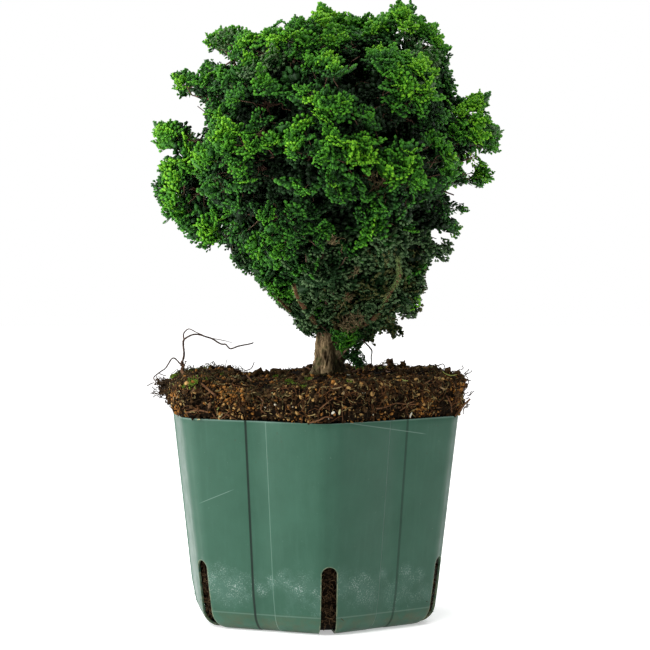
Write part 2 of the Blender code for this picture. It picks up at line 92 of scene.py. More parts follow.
# Where the rim stands high or low: azimuth, half width in degrees, height in mm
RIM_LIFTS = ((194, 11, 1.9), (276, 12, -0.7), (60, 14, 1.2), (128, 10, -0.8))

# Lime stains on the front of the pot: pixel across and down, radius in pixels
STAINS = (
    (214, 579, 11), (226, 578, 13), (240, 586, 13), (232, 596, 10), (248, 594, 9), (263, 588, 9),
    (272, 582, 8), (288, 580, 12), (299, 589, 11), (305, 598, 7), (353, 584, 9), (361, 577, 7),
    (380, 575, 8), (404, 570, 10), (418, 574, 8), (366, 598, 6),
)

# Scratches: the way the face looks, height in the middle, slope, and how far to each side
SCRATCHES = ((307, 103.5 * MM, -0.158, -28 * MM, 15 * MM), (247, 79 * MM, 0.4, -31 * MM, -17 * MM))

# The root ball
SOIL_TOP = 128.0 * MM

# The trunk
TRUNK_X = 7.1 * MM
TRUNK_TIP = 289.0 * MM
TRUNK_SWAY = 1.6 * MM
TRUNK_SIZES = (  # share of the height, radius
    (0.0, 8.4 * MM), (0.06, 7.4 * MM), (0.13, 7.0 * MM), (0.25, 5.2 * MM), (0.6, 3.0 * MM), (1.0, 1.5 * MM),
)
FLARE_HEIGHT = 11.0 * MM
FLARE_DEPTH = 3.6 * MM
FLARE_RIDGES = 5

# The boughs
BOUGH_FOOT_RADIUS = 2.7 * MM
BOUGH_TIP_RADIUS = 1.6 * MM
BOUGH_SHARE = 0.5
STEM_RADIUS = 0.9 * MM
STEM_SPREAD = 1.25 * MM

# The masses of foliage
FLATTENING = 0.88
SWELL = 1.35
CROWN_MIDDLE = np.array((TRUNK_X, 0.0, 226.0 * MM))
FULL_RADIUS = 33.0 * MM
FULL_TWIGS = 30
LEAST_TWIGS = 9

# The tufts of sprays
LAYERS = (0.98, 0.8, 0.6, 0.4)  # how far out each layer of tufts sits in its mass
DEEPEST = 34.0 * MM
TUFT_ROOM = 9.8 * MM
TUFT_SIZE = 10.0 * MM
TWIG = np.array((0.42, 0.32, 0.24)) * MM  # radii along a twig
FAN, PLUME, FILLER = 0, 1, 2
FORM_LENGTH = (1.0, 1.3, 1.3)
FAN_LENGTH = 9.6 * MM
FANS_OUTER = 9
FANS_INNER = 6
FAN_KINDS = 5
PLUME_KINDS = 5
FILLER_KINDS = 3
FAN_RINGS = ((8, 1.35, 0.6, 0.36, 0.23), (5, 1.1, 0.32, 0.38, 0.24))  # lobes, spread, start, length and width
FILLER_RINGS = ((5, 1.2, 0.48, 0.46, 0.3), (2, 0.5, 0.1, 0.46, 0.28))
OUTER_DEPTH = 9.0 * MM
LONGEST_TWIG = 26.0 * MM
SKIRT_HOME, SPRIG_HOME, INNER_HOME = -1, -2, -3  # the home of a tuft that belongs to no mass
SKIRT_SHADE = 4.5 * MM
INNER_TUFTS = 290
INNER_ROOM = 61 * MM
INNER_SHADE = 26 * MM
MOST_TRIANGLES = 190000

# The base colours of the sprays, a ladder of painted light and shade from the lit new growth to what the crown
# shades, then the dull ones
GREENS = {
    "lime": (0.15, 0.4, 0.016),
    "fresh": (0.07, 0.26, 0.013),
    "leaf": (0.042, 0.18, 0.014),
    "deep": (0.026, 0.105, 0.017),
    "shade": (0.015, 0.048, 0.0125),
    "gloom": (0.0085, 0.023, 0.0075),
    "grey_green": (0.08, 0.145, 0.056),
    "olive": (0.08, 0.088, 0.026),
}
LIME, FRESH, LEAF, DEEP, SHADE, GLOOM, GREY_GREEN, OLIVE = range(len(GREENS))
LIGHT_LIMITS = (1.08, 0.84, 0.58, 0.3, 0.02)  # below each of these a spray takes the next darker green
SUNNY_WAY = np.array((0.15, -0.3, 0.92))

# The low skirt of the crown: height, middle across, half width, half depth, in mm
SKIRT = ((151, 19, 24, 17), (160, 19, 33, 26), (170, 17, 40, 34), (182, 12, 46, 42), (198, 9, 56, 52))

# The crown's outline from the front, clockwise from the left shoulder, in the photograph's pixels
OUTLINE = (
    (202, 35), (211, 30), (223, 25), (248, 26), (248, 33), (255, 36), (262, 30), (274, 24), (294, 14),
    (309, 18), (316, 2), (337, 1), (337, 16), (345, 8), (356, 16), (372, 13), (381, 16), (395, 0),
    (410, -2), (421, 8), (424, 22), (441, 21), (443, 36), (457, 42), (456, 52), (451, 56), (453, 68),
    (457, 85), (460, 99), (470, 87), (494, 93), (491, 108), (482, 111), (490, 113), (498, 126),
    (506, 132), (502, 143), (501, 157), (484, 151), (473, 153), (478, 159), (489, 166), (500, 176),
    (481, 190), (467, 184), (455, 185), (446, 189), (446, 203), (470, 205), (478, 219), (459, 212),
    (447, 211), (470, 233), (458, 239), (446, 228), (432, 229), (432, 242), (449, 240), (461, 248),
    (449, 265), (428, 263), (426, 276), (428, 289), (421, 297), (429, 311), (412, 309), (418, 317),
    (413, 328), (402, 328), (410, 339), (391, 341), (386, 334), (377, 331), (372, 344), (364, 344),
    (362, 349), (368, 360), (364, 371), (340, 372), (330, 335), (315, 331), (309, 340), (296, 327),
    (286, 312), (276, 303), (267, 296), (266, 290), (254, 282), (247, 273), (227, 267), (232, 252),
    (222, 247), (203, 253), (180, 237), (176, 222), (163, 226), (159, 213), (160, 201), (150, 193),
    (150, 180), (159, 174), (154, 158), (170, 158), (185, 160), (184, 150), (168, 148), (151, 149),
    (151, 121), (177, 118), (189, 120), (193, 131), (193, 139), (204, 138), (209, 127), (205, 115),
    (203, 103), (198, 98), (180, 98), (172, 87), (168, 76), (177, 67), (198, 73), (200, 60), (219, 65),
    (240, 66), (240, 62), (222, 57), (212, 50), (205, 42),
)
GAPS = (  # where the white shows through, just inside the outline
    ((462, 163), (475, 161), (478, 172), (466, 179)), ((391, 312), (403, 308), (406, 325), (396, 325)),
    ((199, 179), (202, 178), (202, 182)), ((211, 180), (215, 180), (214, 184)),
    ((205, 187), (209, 186), (207, 190)),
)

# Tufts of new growth on the front, and the dark hollows between them: pixel across, down, and how wide
NEW_GROWTH = (
    (222, 40, 14), (240, 45, 10), (298, 28, 12), (285, 38, 10), (374, 30, 14), (403, 14, 14),
    (335, 62, 9), (399, 88, 14), (440, 40, 12), (307, 104, 13), (339, 105, 15), (210, 70, 12),
    (242, 146, 13), (283, 145, 13), (337, 141, 17), (242, 178, 17), (374, 164, 9), (410, 188, 19),
    (227, 216, 13), (290, 222, 17), (256, 246, 11), (373, 222, 10), (318, 232, 12), (377, 250, 6),
    (180, 84, 14), (172, 133, 16), (168, 168, 12), (203, 233, 8), (476, 98, 14), (485, 135, 17),
    (482, 174, 10), (325, 14, 12), (465, 115, 12), (335, 190, 9), (200, 160, 14), (425, 60, 16),
    (262, 40, 10), (415, 110, 12), (280, 296, 6), (420, 303, 6), (258, 254, 8), (214, 115, 9),
    (220, 142, 11), (265, 145, 9), (335, 35, 12), (430, 32, 10), (385, 85, 8), (425, 92, 12),
    (365, 106, 9), (408, 152, 10), (451, 162, 7), (402, 256, 6),
)
HOLLOWS = (
    (359, 79, 24), (352, 52, 10), (439, 110, 8), (412, 128, 11), (300, 68, 12), (284, 114, 13),
    (311, 147, 8), (247, 113, 8), (308, 178, 10), (366, 78, 12), (266, 108, 18), (336, 218, 16),
    (304, 160, 9), (288, 188, 8), (386, 130, 9), (437, 152, 15), (394, 234, 12), (374, 278, 14),
    (318, 74, 12), (345, 172, 10), (255, 200, 8), (236, 120, 8), (200, 145, 8), (330, 262, 10),
    (300, 262, 9),
)

# Boughs that show through the front of the low crown: path in pixels, depth at its start and end, radii in mm
SHOWING_BOUGHS = (
    (((318, 327), (313, 319), (308.4, 313.7), (303, 306), (299, 300), (296, 293),
      (294, 285)), -12, -45, 1.25, 0.85),
    (((343, 332), (354, 328), (366, 324), (374, 318), (380, 311), (386, 301), (391, 291), (396, 284),
      (399, 276), (399, 267), (398, 258)), -11, -46, 1.25, 0.75),
    (((337, 373), (338.5, 362), (341, 351), (343.5, 341), (346, 332)), 1, -7, 4.3, 3.2),
    (((290, 311), (284, 305), (278, 299)), -15, -26, 0.8, 0.55),
    (((349, 316), (351, 306), (347, 297), (350, 288)), -14, -30, 0.9, 0.6),
    (((336, 330), (333, 316), (336, 304)), -12, -20, 1.2, 0.8),
    (((363, 175), (370, 183), (374, 192), (383, 199)), -62, -66, 0.7, 0.5),
    (((386, 176), (380, 185), (376, 195)), -62, -66, 0.6, 0.4),
    (((254, 125), (262, 131), (270, 140)), -60, -62, 0.6, 0.4),
)

# Tufts that reach out from the crown's edge, in pixels
REACHING = (
    (327, 11), (321, 12), (333, 12), (402, 9), (395, 10), (411, 9), (434, 28), (431, 24), (487, 99),
    (484, 104), (495, 128), (498, 134), (493, 141), (493, 152), (488, 155), (490, 171), (492, 177),
    (485, 183), (458, 232), (455, 235), (468, 211), (452, 246), (419, 301), (421, 307), (413, 314),
    (407, 326), (402, 332), (394, 336), (207, 37), (176, 71), (178, 91), (183, 97), (158, 126),
    (161, 165), (160, 171), (154, 187), (157, 199), (164, 214), (171, 218), (184, 232), (194, 240),
    (202, 247), (247, 274), (360, 14), (376, 15), (266, 30), (427, 286), (306, 336), (158, 144),
    (162, 147),
)
# Sprigs low beside the trunk: pixel across and down, depth in mm, how fresh
SPRIGS = (
    (341, 338, -20, 0.7), (343, 346, -20, 0.6), (350, 336, -21, 1.0), (352, 342, -22, 1.25),
    (348, 347, -20, 0.9), (355, 337, -10, 0.5), (362, 334, -8, 0.4), (357, 347, -8, 0.4),
    (352, 355, -8, 0.3), (360, 356, -6, 0.2), (356, 363, -6, 0.2), (363, 363, -5, 0.2),
    (361, 369, -5, 0.1), (371, 338, -6, 0.4), (352, 328, -14, 0.5), (362, 326, -12, 0.5),
    (368, 330, -8, 0.4), (301, 320, -8, 0.4), (304, 326, -6, 0.3), (307, 331, -6, 0.3),
    (309, 336, -5, 0.1), (303, 331, -2, 0.1), (299, 324, -2, 0.1), (311, 326, -10, 0.4),
)
# Dead twigs that show among the green: pixel across and down, depth and spread in mm, how many
DEAD_TWIGS = (
    (347, 321, -24, 3.2, 30), (354, 317, -26, 3.0, 24), (359, 321, -25, 2.6, 18), (350, 327, -22, 3.0, 22),
    (343, 327, -19, 2.4, 14), (330, 240, -66, 3.5, 14), (337, 242, -66, 3.0, 10), (355, 274, -52, 2.4, 12),
    (348, 298, -40, 2.2, 12), (378, 181, -70, 4.0, 22), (386, 187, -70, 3.5, 18), (371, 176, -70, 3.0, 12),
    (262, 133, -68, 3.5, 18), (267, 138, -68, 3.0, 10), (216, 181, -62, 3.5, 14), (225, 186, -62, 3.0, 10),
)

Pad = namedtuple("Pad", "name azimuth height distance radius")
Bough = namedtuple("Bough", "name foot pads")
Mass = namedtuple("Mass", "centre radius")
Limb = namedtuple("Limb", "points radii")

# Each bough with the height of its foot, and each bulge of foliage with where it stands round the trunk, in mm
BOUGHS = (
    Bough("left_front_foot", 149, (Pad("front_left_low", 247, 209, 60, 25),
        Pad("left_under", 199, 204, 56, 21))),
    Bough("right_front_foot", 146, (Pad("right_low", 347, 200, 54, 20),
        Pad("front_right_low", 297, 209, 56, 23))),
    Bough("back_foot", 154, (Pad("back_low", 91, 213, 58, 25), Pad("back_left_low", 137, 209, 61, 23))),
    Bough("left", 162, (Pad("left_low", 186, 226, 72, 22), Pad("left_mid", 180, 253, 75, 19))),
    Bough("right", 158, (Pad("right_mid", 357, 226, 66, 21), Pad("right_high", 352, 256, 73, 22))),
    Bough("front", 168, (Pad("front_mid", 270, 240, 74, 26), Pad("front_high", 272, 270, 68, 25))),
    Bough("front_left", 178, (Pad("front_left_mid", 238, 241, 73, 26),
        Pad("front_left_high", 237, 272, 62, 25))),
    Bough("front_right", 188, (Pad("front_right_mid", 303, 236, 71, 26),
        Pad("front_right_high", 302, 274, 66, 25))),
    Bough("right_back", 166, (Pad("back_right_outer", 35, 238, 76, 24),
        Pad("back_right_low", 47, 206, 58, 22))),
    Bough("back", 177, (Pad("back_right_mid", 73, 250, 78, 26), Pad("back_mid", 104, 250, 78, 26))),
    Bough("back_left", 186, (Pad("back_left_mid", 144, 241, 76, 25),
        Pad("back_left_high", 133, 280, 64, 25))),
    Bough("left_high", 200, (Pad("left_high", 187, 277, 67, 19), Pad("shoulder_left", 182, 299, 53, 19))),
    Bough("right_high", 208, (Pad("shoulder_right", 4, 287, 55, 20),
        Pad("back_right_high", 49, 279, 67, 26))),
    Bough("top_back", 236, (Pad("back_top", 89, 297, 50, 26),)),
    Bough("top_left", 246, (Pad("top_left", 239, 300, 38, 25),)),
    Bough("top_right", 252, (Pad("top_right", 343, 301, 40, 24),)),
)
LOW_STEMS = (
    Bough("front_low", 157, (Pad("front_low", 269, 190, 40, 25),)),
    Bough("right_under", 141, (Pad("right_under", 343, 178, 38, 19),)),
    Bough("left_skirt", 149, (Pad("left_skirt", 200, 173, 26, 17),)),
    Bough("right_skirt", 131, (Pad("right_skirt", 350, 158, 30, 13),)),
    Bough("sprig", 134, (Pad("sprig", 324, 146, 18, 9),)),
    Bough("back_skirt", 150, (Pad("back_skirt", 76, 180, 25, 21),)),
)
TIP_PAD = Pad("top", 73, 306, 17, 23)

# The soil, in pixels of the photograph where it shows
CRUST = (  # corner size and height of the crust, from inside the rim up and in to the trunk, in mm
    (78.0, 103), (79.6, 108.5), (83.0, 110.2), (84.4, 113.2), (85.4, 117.0), (86.0, 121.0), (86.2, 124.4),
    (84.6, 127.0), (81.0, 128.2), (70, 128.8), (50, 128.8), (22, 128.6), (8, 128.6), (0.5, 128.6),
)
LEAN = (  # height, how far the crust leans in at the left, and at the right, in mm
    (103, 0, 0), (110, 0.4, 0), (115, 1, 2), (119, -0.8, -0.2), (124, -1.6, -0.6), (128, -5, -1.6),
)
DIPS = ((-26, 27, 3.8), (57, 11, 2.0), (-78, 9, 3.0))  # hollows across the top: middle, half width, depth in mm
GRIT = (  # name, how many, least and largest radius in mm, colours, how it clusters, how much of it lies on top
    ("grit_brown", 4300, 0.35, 1.3, (0.008, 0.004, 0.002), (0.07, 0.033, 0.011), 1.0, 2.2),
    ("grit_dark", 3200, 0.4, 1.7, (0.003, 0.002, 0.001), (0.03, 0.017, 0.007), 0.0, 2.0),
    ("grit_orange", 4300, 0.3, 1.25, (0.08, 0.03, 0.007), (0.39, 0.175, 0.041), 2.2, 0.9),
    ("grit_tan", 1050, 0.3, 1.35, (0.15, 0.085, 0.028), (0.54, 0.33, 0.12), 2.5, 1.0),
    ("grit_pale", 60, 0.4, 1.0, (0.3, 0.25, 0.17), (0.55, 0.5, 0.38), 0.0, 0.6),
)
CLODS = (  # clods that stand up from the soil: pixel across and down, radius in mm
    (390, 363, 1.6), (391, 367, 1.7), (403, 365, 1.7), (404, 369, 1.5), (417, 370, 1.5), (430, 373, 1.6),
    (346, 371, 2.6), (341, 373, 1.8), (176, 378, 2.2), (170, 384, 2.4), (448, 373, 1.9), (366, 373, 1.7),
    (260, 374, 2.0), (303, 372, 1.8), (202, 372, 1.8), (284, 373, 1.6), (457, 376, 2.0), (233, 374, 1.7),
    (163, 392, 1.6),
)
FIBRES = (  # name, how many, longest and radius in mm, colours, how far off the soil in mm, more on top
    ("fine_roots", 1000, 13, 0.17, (0.045, 0.018, 0.008), (0.2, 0.09, 0.036), 1.0, 0.0),
    ("dark_fibres", 1100, 9, 0.22, (0.006, 0.004, 0.002), (0.04, 0.024, 0.011), 1.2, 0.0),
    ("olive_tangle", 1500, 6, 0.24, (0.009, 0.008, 0.003), (0.075, 0.062, 0.024), 2.6, 1.0),
    ("thick_fibres", 130, 12, 0.36, (0.025, 0.011, 0.006), (0.13, 0.062, 0.028), 0.8, 0.0),
    ("dry_needles", 1200, 3.0, 0.27, (0.07, 0.05, 0.02), (0.34, 0.26, 0.11), 1.3, 0.6),
)
WISPS = (  # pixel across and down, how many
    (154, 385, 18), (155, 390, 14), (159, 381, 16), (161, 391, 14), (160, 386, 20), (164, 379, 8),
    (467, 371, 7), (469, 377, 5), (466, 385, 5), (469, 397, 7), (467, 403, 6), (182, 366, 10),
    (462, 367, 5),
)
MOSS = (  # pixel across and down, how wide in mm, how many blades
    (195, 372, 3.5, 150), (191, 375, 2.5, 70), (177, 376, 3.0, 130), (182, 373, 2.0, 40), (193, 384, 3.0, 90),
    (186, 387, 2.0, 40), (206, 381, 2.0, 40), (288, 383, 2.5, 60), (296, 386, 3.5, 100), (303, 388, 2.0, 40),
    (277, 378, 2.0, 40), (381, 370, 2.0, 30), (309, 381, 2.5, 40), (222, 376, 2.5, 50), (350, 383, 2.0, 20),
)
ROOTS = (  # paths over the soil in pixels, radius in mm
    (((188, 411), (195, 409), (203, 409.5), (210, 411)), 0.5),
    (((212, 413), (219, 417), (226, 415), (231, 410)), 0.35),
    (((222, 411), (230, 416), (238, 418)), 0.3),
    (((246, 376), (250, 382), (253, 386)), 0.45),
    (((318, 409), (325, 403), (331, 398), (337, 396)), 0.35),
    (((309, 421), (318, 419), (326, 416), (332, 417)), 0.4),
    (((374, 408), (384, 406), (395, 403), (404, 404), (413, 401)), 0.4),
    (((398, 410), (408, 405), (419, 403)), 0.3),
    (((445, 395), (449, 403), (451, 411)), 0.4),
    (((422, 386), (430, 382), (437, 377), (443, 374)), 0.35),
    (((300, 374), (306, 371), (311, 373)), 0.8),
    (((348, 376), (356, 374), (364, 377), (371, 376)), 0.5),
    (((258, 395), (263, 401), (262, 408), (267, 413)), 0.35),
)
ARCHES = (  # roots that stand clear of the soil: path in pixels, radius in mm
    (((173, 384), (176, 379), (181, 376.5), (187, 374), (192, 375), (197, 379), (203, 385), (209, 390),
      (216, 396)), 0.55),
    (((182, 362), (183, 366), (182, 371), (184, 376), (180, 382)), 0.85),
    (((455, 416), (459, 411), (464, 405), (470, 399)), 0.5),
)
CHIPS = (  # pixel, length, width and turn in degrees, colour name
    (235, 381, 4.6, 1.1, 20, "pale"), (236, 382, 4.2, 0.9, 110, "pale"), (233, 383, 2.6, 0.8, 60, "pale"),
    (448, 379, 8.0, 1.5, 15, "olive"), (389, 375, 4.2, 1.8, -60, "pink"), (409, 413, 3.2, 1.2, 70, "white"),
    (349, 379, 2.6, 0.9, 35, "white"), (326, 376, 1.8, 0.8, 70, "white"), (331, 411, 2.0, 1.4, 30, "white"),
    (339, 411, 3.2, 1.3, 80, "pale"), (464, 405, 9.0, 1.3, 52, "brown"), (168, 400, 6.0, 2.0, 75, "brown"),
    (345, 367, 5.0, 2.2, 50, "tan"), (425, 372, 3.4, 1.6, 10, "tan"), (431, 371, 2.6, 1.4, 40, "pale"),
    (404, 385, 3.0, 1.2, 0, "olive"), (336, 390, 5.0, 0.8, 15, "tan"), (195, 390, 4.0, 1.8, 60, "brown"),
    (172, 388, 6.0, 2.0, 80, "brown"), (212, 405, 4.0, 2.0, 70, "brown"), (320, 368, 4.0, 1.2, 70, "brown"),
)
CHIP_COLOURS = {
    "pale": ((0.26, 0.23, 0.1), (0.5, 0.46, 0.24)), "olive": ((0.13, 0.15, 0.03), (0.3, 0.33, 0.1)),
    "pink": ((0.26, 0.15, 0.1), (0.46, 0.3, 0.22)), "white": ((0.35, 0.33, 0.25), (0.6, 0.57, 0.47)),
    "brown": ((0.035, 0.018, 0.008), (0.12, 0.065, 0.03)), "tan": ((0.14, 0.095, 0.045), (0.3, 0.21, 0.11)),
}


# Shaders

def feed(socket, value):
    """Links a socket to an input, or sets the input's own value."""
    if isinstance(value, bpy.types.NodeSocket):
        socket.id_data.links.new(value, socket)
    elif isinstance(value, tuple) and len(value) == 3 and len(socket.default_value) == 4:
        socket.default_value = (*value, 1.0)
    else:
        socket.default_value = value


class Nodes:
    """Short calls that add nodes to one material or group. Each value is a socket or a plain value."""

    def __init__(self, tree, where=None):
        self.tree = tree
        self.where = tree.nodes.new("ShaderNodeTexCoord").outputs["Object"] if where is None else where

    def add(self, kind, inputs, **settings):
        """A node with its settings made and its inputs fed: its outputs."""
        made = self.tree.nodes.new("ShaderNode" + kind)
        for title, setting in settings.items():
            setattr(made, title, setting)
        for key, value in inputs.items():
            feed(made.inputs[key], value)
        return made.outputs

    def group(self, tree, **inputs):
        """A node group placed where the material is: its outputs."""
        return self.add("Group", {"Where": self.where, **inputs}, node_tree=tree)

    def maths(self, operation, *values):
        return self.add("Math", dict(enumerate(values)), operation=operation)[0]

    def times(self, a, b):
        return self.maths("MULTIPLY", a, b)

    def vector(self, operation, a, b):
        return self.add("VectorMath", {0: a, 1: b}, operation=operation)

    def along(self, direction):
        """How far each point lies along a direction, in metres."""
        return self.vector("DOT_PRODUCT", self.where, direction)["Value"]

    def ranged(self, value, low, high):
        """0 below one level and 1 above another."""
        return self.add("MapRange", {"Value": value, "From Min": low, "From Max": high})[0]

    def band(self, value, low, high, soft):
        """1 between two levels, fading over a soft edge on both sides."""
        return self.times(self.ranged(value, low - soft, low), self.ranged(value, high + soft, high))

    def mix(self, factor, a, b, blend="MIX"):
        """Two colours mixed by a factor."""
        return self.add("Mix", {"Factor": factor, 6: a, 7: b}, data_type="RGBA", blend_type=blend)[2]

    def cover(self, colour, mask, strength, paint):
        """A colour with a paint over it where the mask is, as strongly as given."""
        return self.mix(self.times(mask, strength), colour, paint)

    def cloud(self, where, scale, detail, roughness):
        values = {"Vector": where, "Scale": scale, "Detail": detail, "Roughness": roughness}
        return self.add("TexNoise", values)["Fac"]

    def mottle(self, scale, dark=(0, 0, 0), light=(1, 1, 1), low=0.3, high=0.7, stretch=(1.0, 1.0, 1.0)):
        """The mottle effect placed in a material: its colour and its height."""
        made = self.group(MOTTLE, Scale=scale, Stretch=stretch, Low=low, High=high, Dark=dark, Light=light)
        return made["Colour"], made["Height"]

    def patches(self, scale, low, high):
        """The patch mask placed in a material."""
        return self.group(PATCHES, Scale=scale, Low=low, High=high)["Mask"]

    def finish(self, shader, colour, height, strength, distance):
        """Gives a shader its colour, and its relief from a height."""
        feed(shader["Base Color"], colour)
        bump = self.add("Bump", {"Strength": strength, "Distance": distance, "Height": height})
        feed(shader["Normal"], bump["Normal"])


def new_material(name, roughness, specular):
    """A material and the inputs of its Principled shader."""
    made = bpy.data.materials.new(name)
    made.use_nodes = True
    shader = made.node_tree.nodes["Principled BSDF"].inputs
    shader["Roughness"].default_value = roughness
    shader["Specular IOR Level"].default_value = specular
    return made, shader


def new_group(name, takes, gives):
    """An empty node group with named sockets: the calls that fill it, its inputs and its outputs."""
    tree = bpy.data.node_groups.new(name, "ShaderNodeTree")
    for in_out, sockets in (("INPUT", takes), ("OUTPUT", gives)):
        for title, kind in sockets.items():
            tree.interface.new_socket(title, in_out=in_out, socket_type="NodeSocket" + kind)
    taken = tree.nodes.new("NodeGroupInput").outputs
    return Nodes(tree, taken["Where"]), taken, tree.nodes.new("NodeGroupOutput").inputs


def mottle_group():
    """Two colours mottled by noise that can be drawn out along an axis, with the noise itself as a height."""
    takes = {"Where": "Vector", "Scale": "Float", "Stretch": "Vector", "Low": "Float", "High": "Float"}
    nodes, taken, given = new_group(
        "mottle", {**takes, "Dark": "Color", "Light": "Color"}, {"Colour": "Color", "Height": "Float"})
    drawn = nodes.vector("MULTIPLY", nodes.where, taken["Stretch"])["Vector"]
    cloud = nodes.cloud(drawn, taken["Scale"], 5.0, 0.62)
    share = nodes.ranged(cloud, taken["Low"], taken["High"])
    feed(given["Colour"], nodes.mix(share, taken["Dark"], taken["Light"]))
    feed(given["Height"], cloud)
    return nodes.tree


def patch_group():
    """A mask of patches: noise between two levels."""
    takes = {"Where": "Vector", "Scale": "Float", "Low": "Float", "High": "Float"}
    nodes, taken, given = new_group("patches", takes, {"Mask": "Float"})
    cloud = nodes.cloud(nodes.where, taken["Scale"], 4.0, 0.65)
    feed(given["Mask"], nodes.ranged(cloud, taken["Low"], taken["High"]))
    return nodes.tree


def marks_group(name, takes, gives):
    """A group for marks on two opposite sides of the pot, with the distances out, aside and up."""
    takes = {"Where": "Vector", "Facing": "Vector", "Across": "Vector", **takes}
    nodes, taken, given = new_group(name, takes, gives)
    return nodes, taken, given, nodes.along(taken["Facing"]), nodes.along(taken["Across"]), nodes.along(UP)


def flute_group():
    """Masks of painted shade in one edge of a flute and a painted highlight on the other, on the two sides that
    face a way.
    """
    nodes, taken, given, out, aside, height = marks_group(
        "flute marks", {"Edge": "Float"}, {"Dirt": "Float", "Highlight": "Float"})
    lean = (RIM_CORNER - WALL_FOOT_CORNER) / (POT_HEIGHT - WALL_FOOT_HEIGHT) * math.cos(math.pi / SIDES)
    level = nodes.maths("SUBTRACT", nodes.maths("ABSOLUTE", out), nodes.times(height, lean))
    on_face = nodes.ranged(level, 52 * MM, 54 * MM)
    # painted shade in one edge of the flute, a painted highlight in the other
    for title, side, half, soft in (("Dirt", 1, 0.3 * MM, 0.35 * MM), ("Highlight", -1, 0.1 * MM, 0.2 * MM)):
        off = nodes.maths("ABSOLUTE", nodes.maths("SUBTRACT", aside, nodes.times(taken["Edge"], side)))
        feed(given[title], nodes.times(nodes.ranged(off, half + soft, half), on_face))
    return nodes.tree


def slit_group():
    """A mask of the edge of the two slits that face a way."""
    nodes, _, given, out, aside, height = marks_group("slit edge", {}, {"Edge": "Float"})
    rise = nodes.maths("MAXIMUM", nodes.maths("SUBTRACT", height, SLIT_HEIGHT - SLIT_WIDTH / 2), 0.0)
    square = nodes.maths("ADD", nodes.times(rise, rise), nodes.times(aside, aside))
    half = SLIT_WIDTH / 2
    edge = nodes.band(nodes.maths("SQRT", square), half - 0.6 * MM, half + 0.25 * MM, 0.25 * MM)
    on_corner = nodes.ranged(nodes.maths("ABSOLUTE", out), 44 * MM, 46 * MM)
    feed(given["Edge"], nodes.times(edge, on_corner))
    return nodes.tree


MOTTLE, PATCHES = mottle_group(), patch_group()


def on_wall(x, y):
    """The place on the pot's wall that shows at a pixel."""
    a = math.radians(247 if x < 330 else 307)
    depth = -60 * MM
    for _ in range(4):
        place = at_pixel(x, y, depth)
        depth = (pot_corner(place[2]) * math.cos(math.pi / SIDES) - place[0] * math.cos(a)) / math.sin(a)
    return np.array((place[0], depth, place[2]))


def stain_mask(nodes):
    """1 in the middle of each stain and 0 outside them all."""
    mask = 0.0
    for x, y, radius in STAINS:
        far = nodes.vector("DISTANCE", nodes.where, on_wall(x, y))["Value"]
        mask = nodes.maths("MAXIMUM", mask, nodes.ranged(far, radius * PIXEL * 1.15, radius * PIXEL * 0.1))
    return mask


def turned(a):
    """The directions out and aside at an angle round the pot."""
    return (math.cos(a), math.sin(a), 0.0), (-math.sin(a), math.cos(a), 0.0)


def lime_stains(nodes, colour, height):
    """The haze and the crust of lime low on the wall."""
    wavy = nodes.times(nodes.patches(70, 0.3, 0.7), 13 * MM)
    low_wall = nodes.band(nodes.maths("ADD", height, wavy), 25 * MM, 34 * MM, 7 * MM)
    haze = nodes.times(low_wall, nodes.patches(34, 0.44, 0.64))
    placed = nodes.times(stain_mask(nodes), nodes.patches(160, 0.3, 0.55))
    haze = nodes.maths("MAXIMUM", nodes.times(haze, 0.6), placed)
    crust = nodes.times(haze, nodes.patches(1500, 0.54, 0.6))
    crust = nodes.times(crust, nodes.patches(150, 0.36, 0.6))
    colour = nodes.cover(colour, haze, 0.4, (0.09, 0.17, 0.14))
    return nodes.cover(colour, crust, 0.62, (0.45, 0.52, 0.48))


def wall_marks(nodes, colour):
    """Worn slit edges, painted shade and painted highlights along the flutes, and the scratches."""
    flute_marks, slit_edge = flute_group(), slit_group()
    for corner in range(3):
        facing, aside = turned(POT_TURN + corner * math.tau / SIDES)
        edge = nodes.group(slit_edge, Facing=facing, Across=aside)["Edge"]
        colour = nodes.cover(colour, nodes.times(edge, nodes.patches(400, 0.35, 0.6)), 0.7, (0.2, 0.22, 0.13))
    # painted shade in one edge of each flute, stronger on some sides, and a painted highlight on the other edge
    for side, darkening in enumerate((0.55, 0.75, 0.92)):
        facing, aside = turned(POT_TURN + (side + 0.5) * math.tau / SIDES)
        marks = nodes.group(flute_marks, Facing=facing, Across=aside, Edge=FLUTE_WIDTH / 2 * (-1) ** side)
        colour = nodes.cover(colour, marks["Dirt"], darkening, (0.006, 0.017, 0.011))
        colour = nodes.cover(colour, marks["Highlight"], 0.5, (0.13, 0.21, 0.17))
    for azimuth, level, slope, start, end in SCRATCHES:
        facing, aside = turned(math.radians(azimuth))
        off = nodes.along((-slope * aside[0], -slope * aside[1], 1.0))
        line = nodes.band(off, level - 0.12 * MM, level + 0.12 * MM, 0.15 * MM)
        line = nodes.times(line, nodes.band(nodes.along(aside), start, end, 4 * MM))
        line = nodes.times(line, nodes.ranged(nodes.along(facing), 30 * MM, 40 * MM))
        colour = nodes.cover(colour, line, 0.5, (0.16, 0.24, 0.2))
    return colour


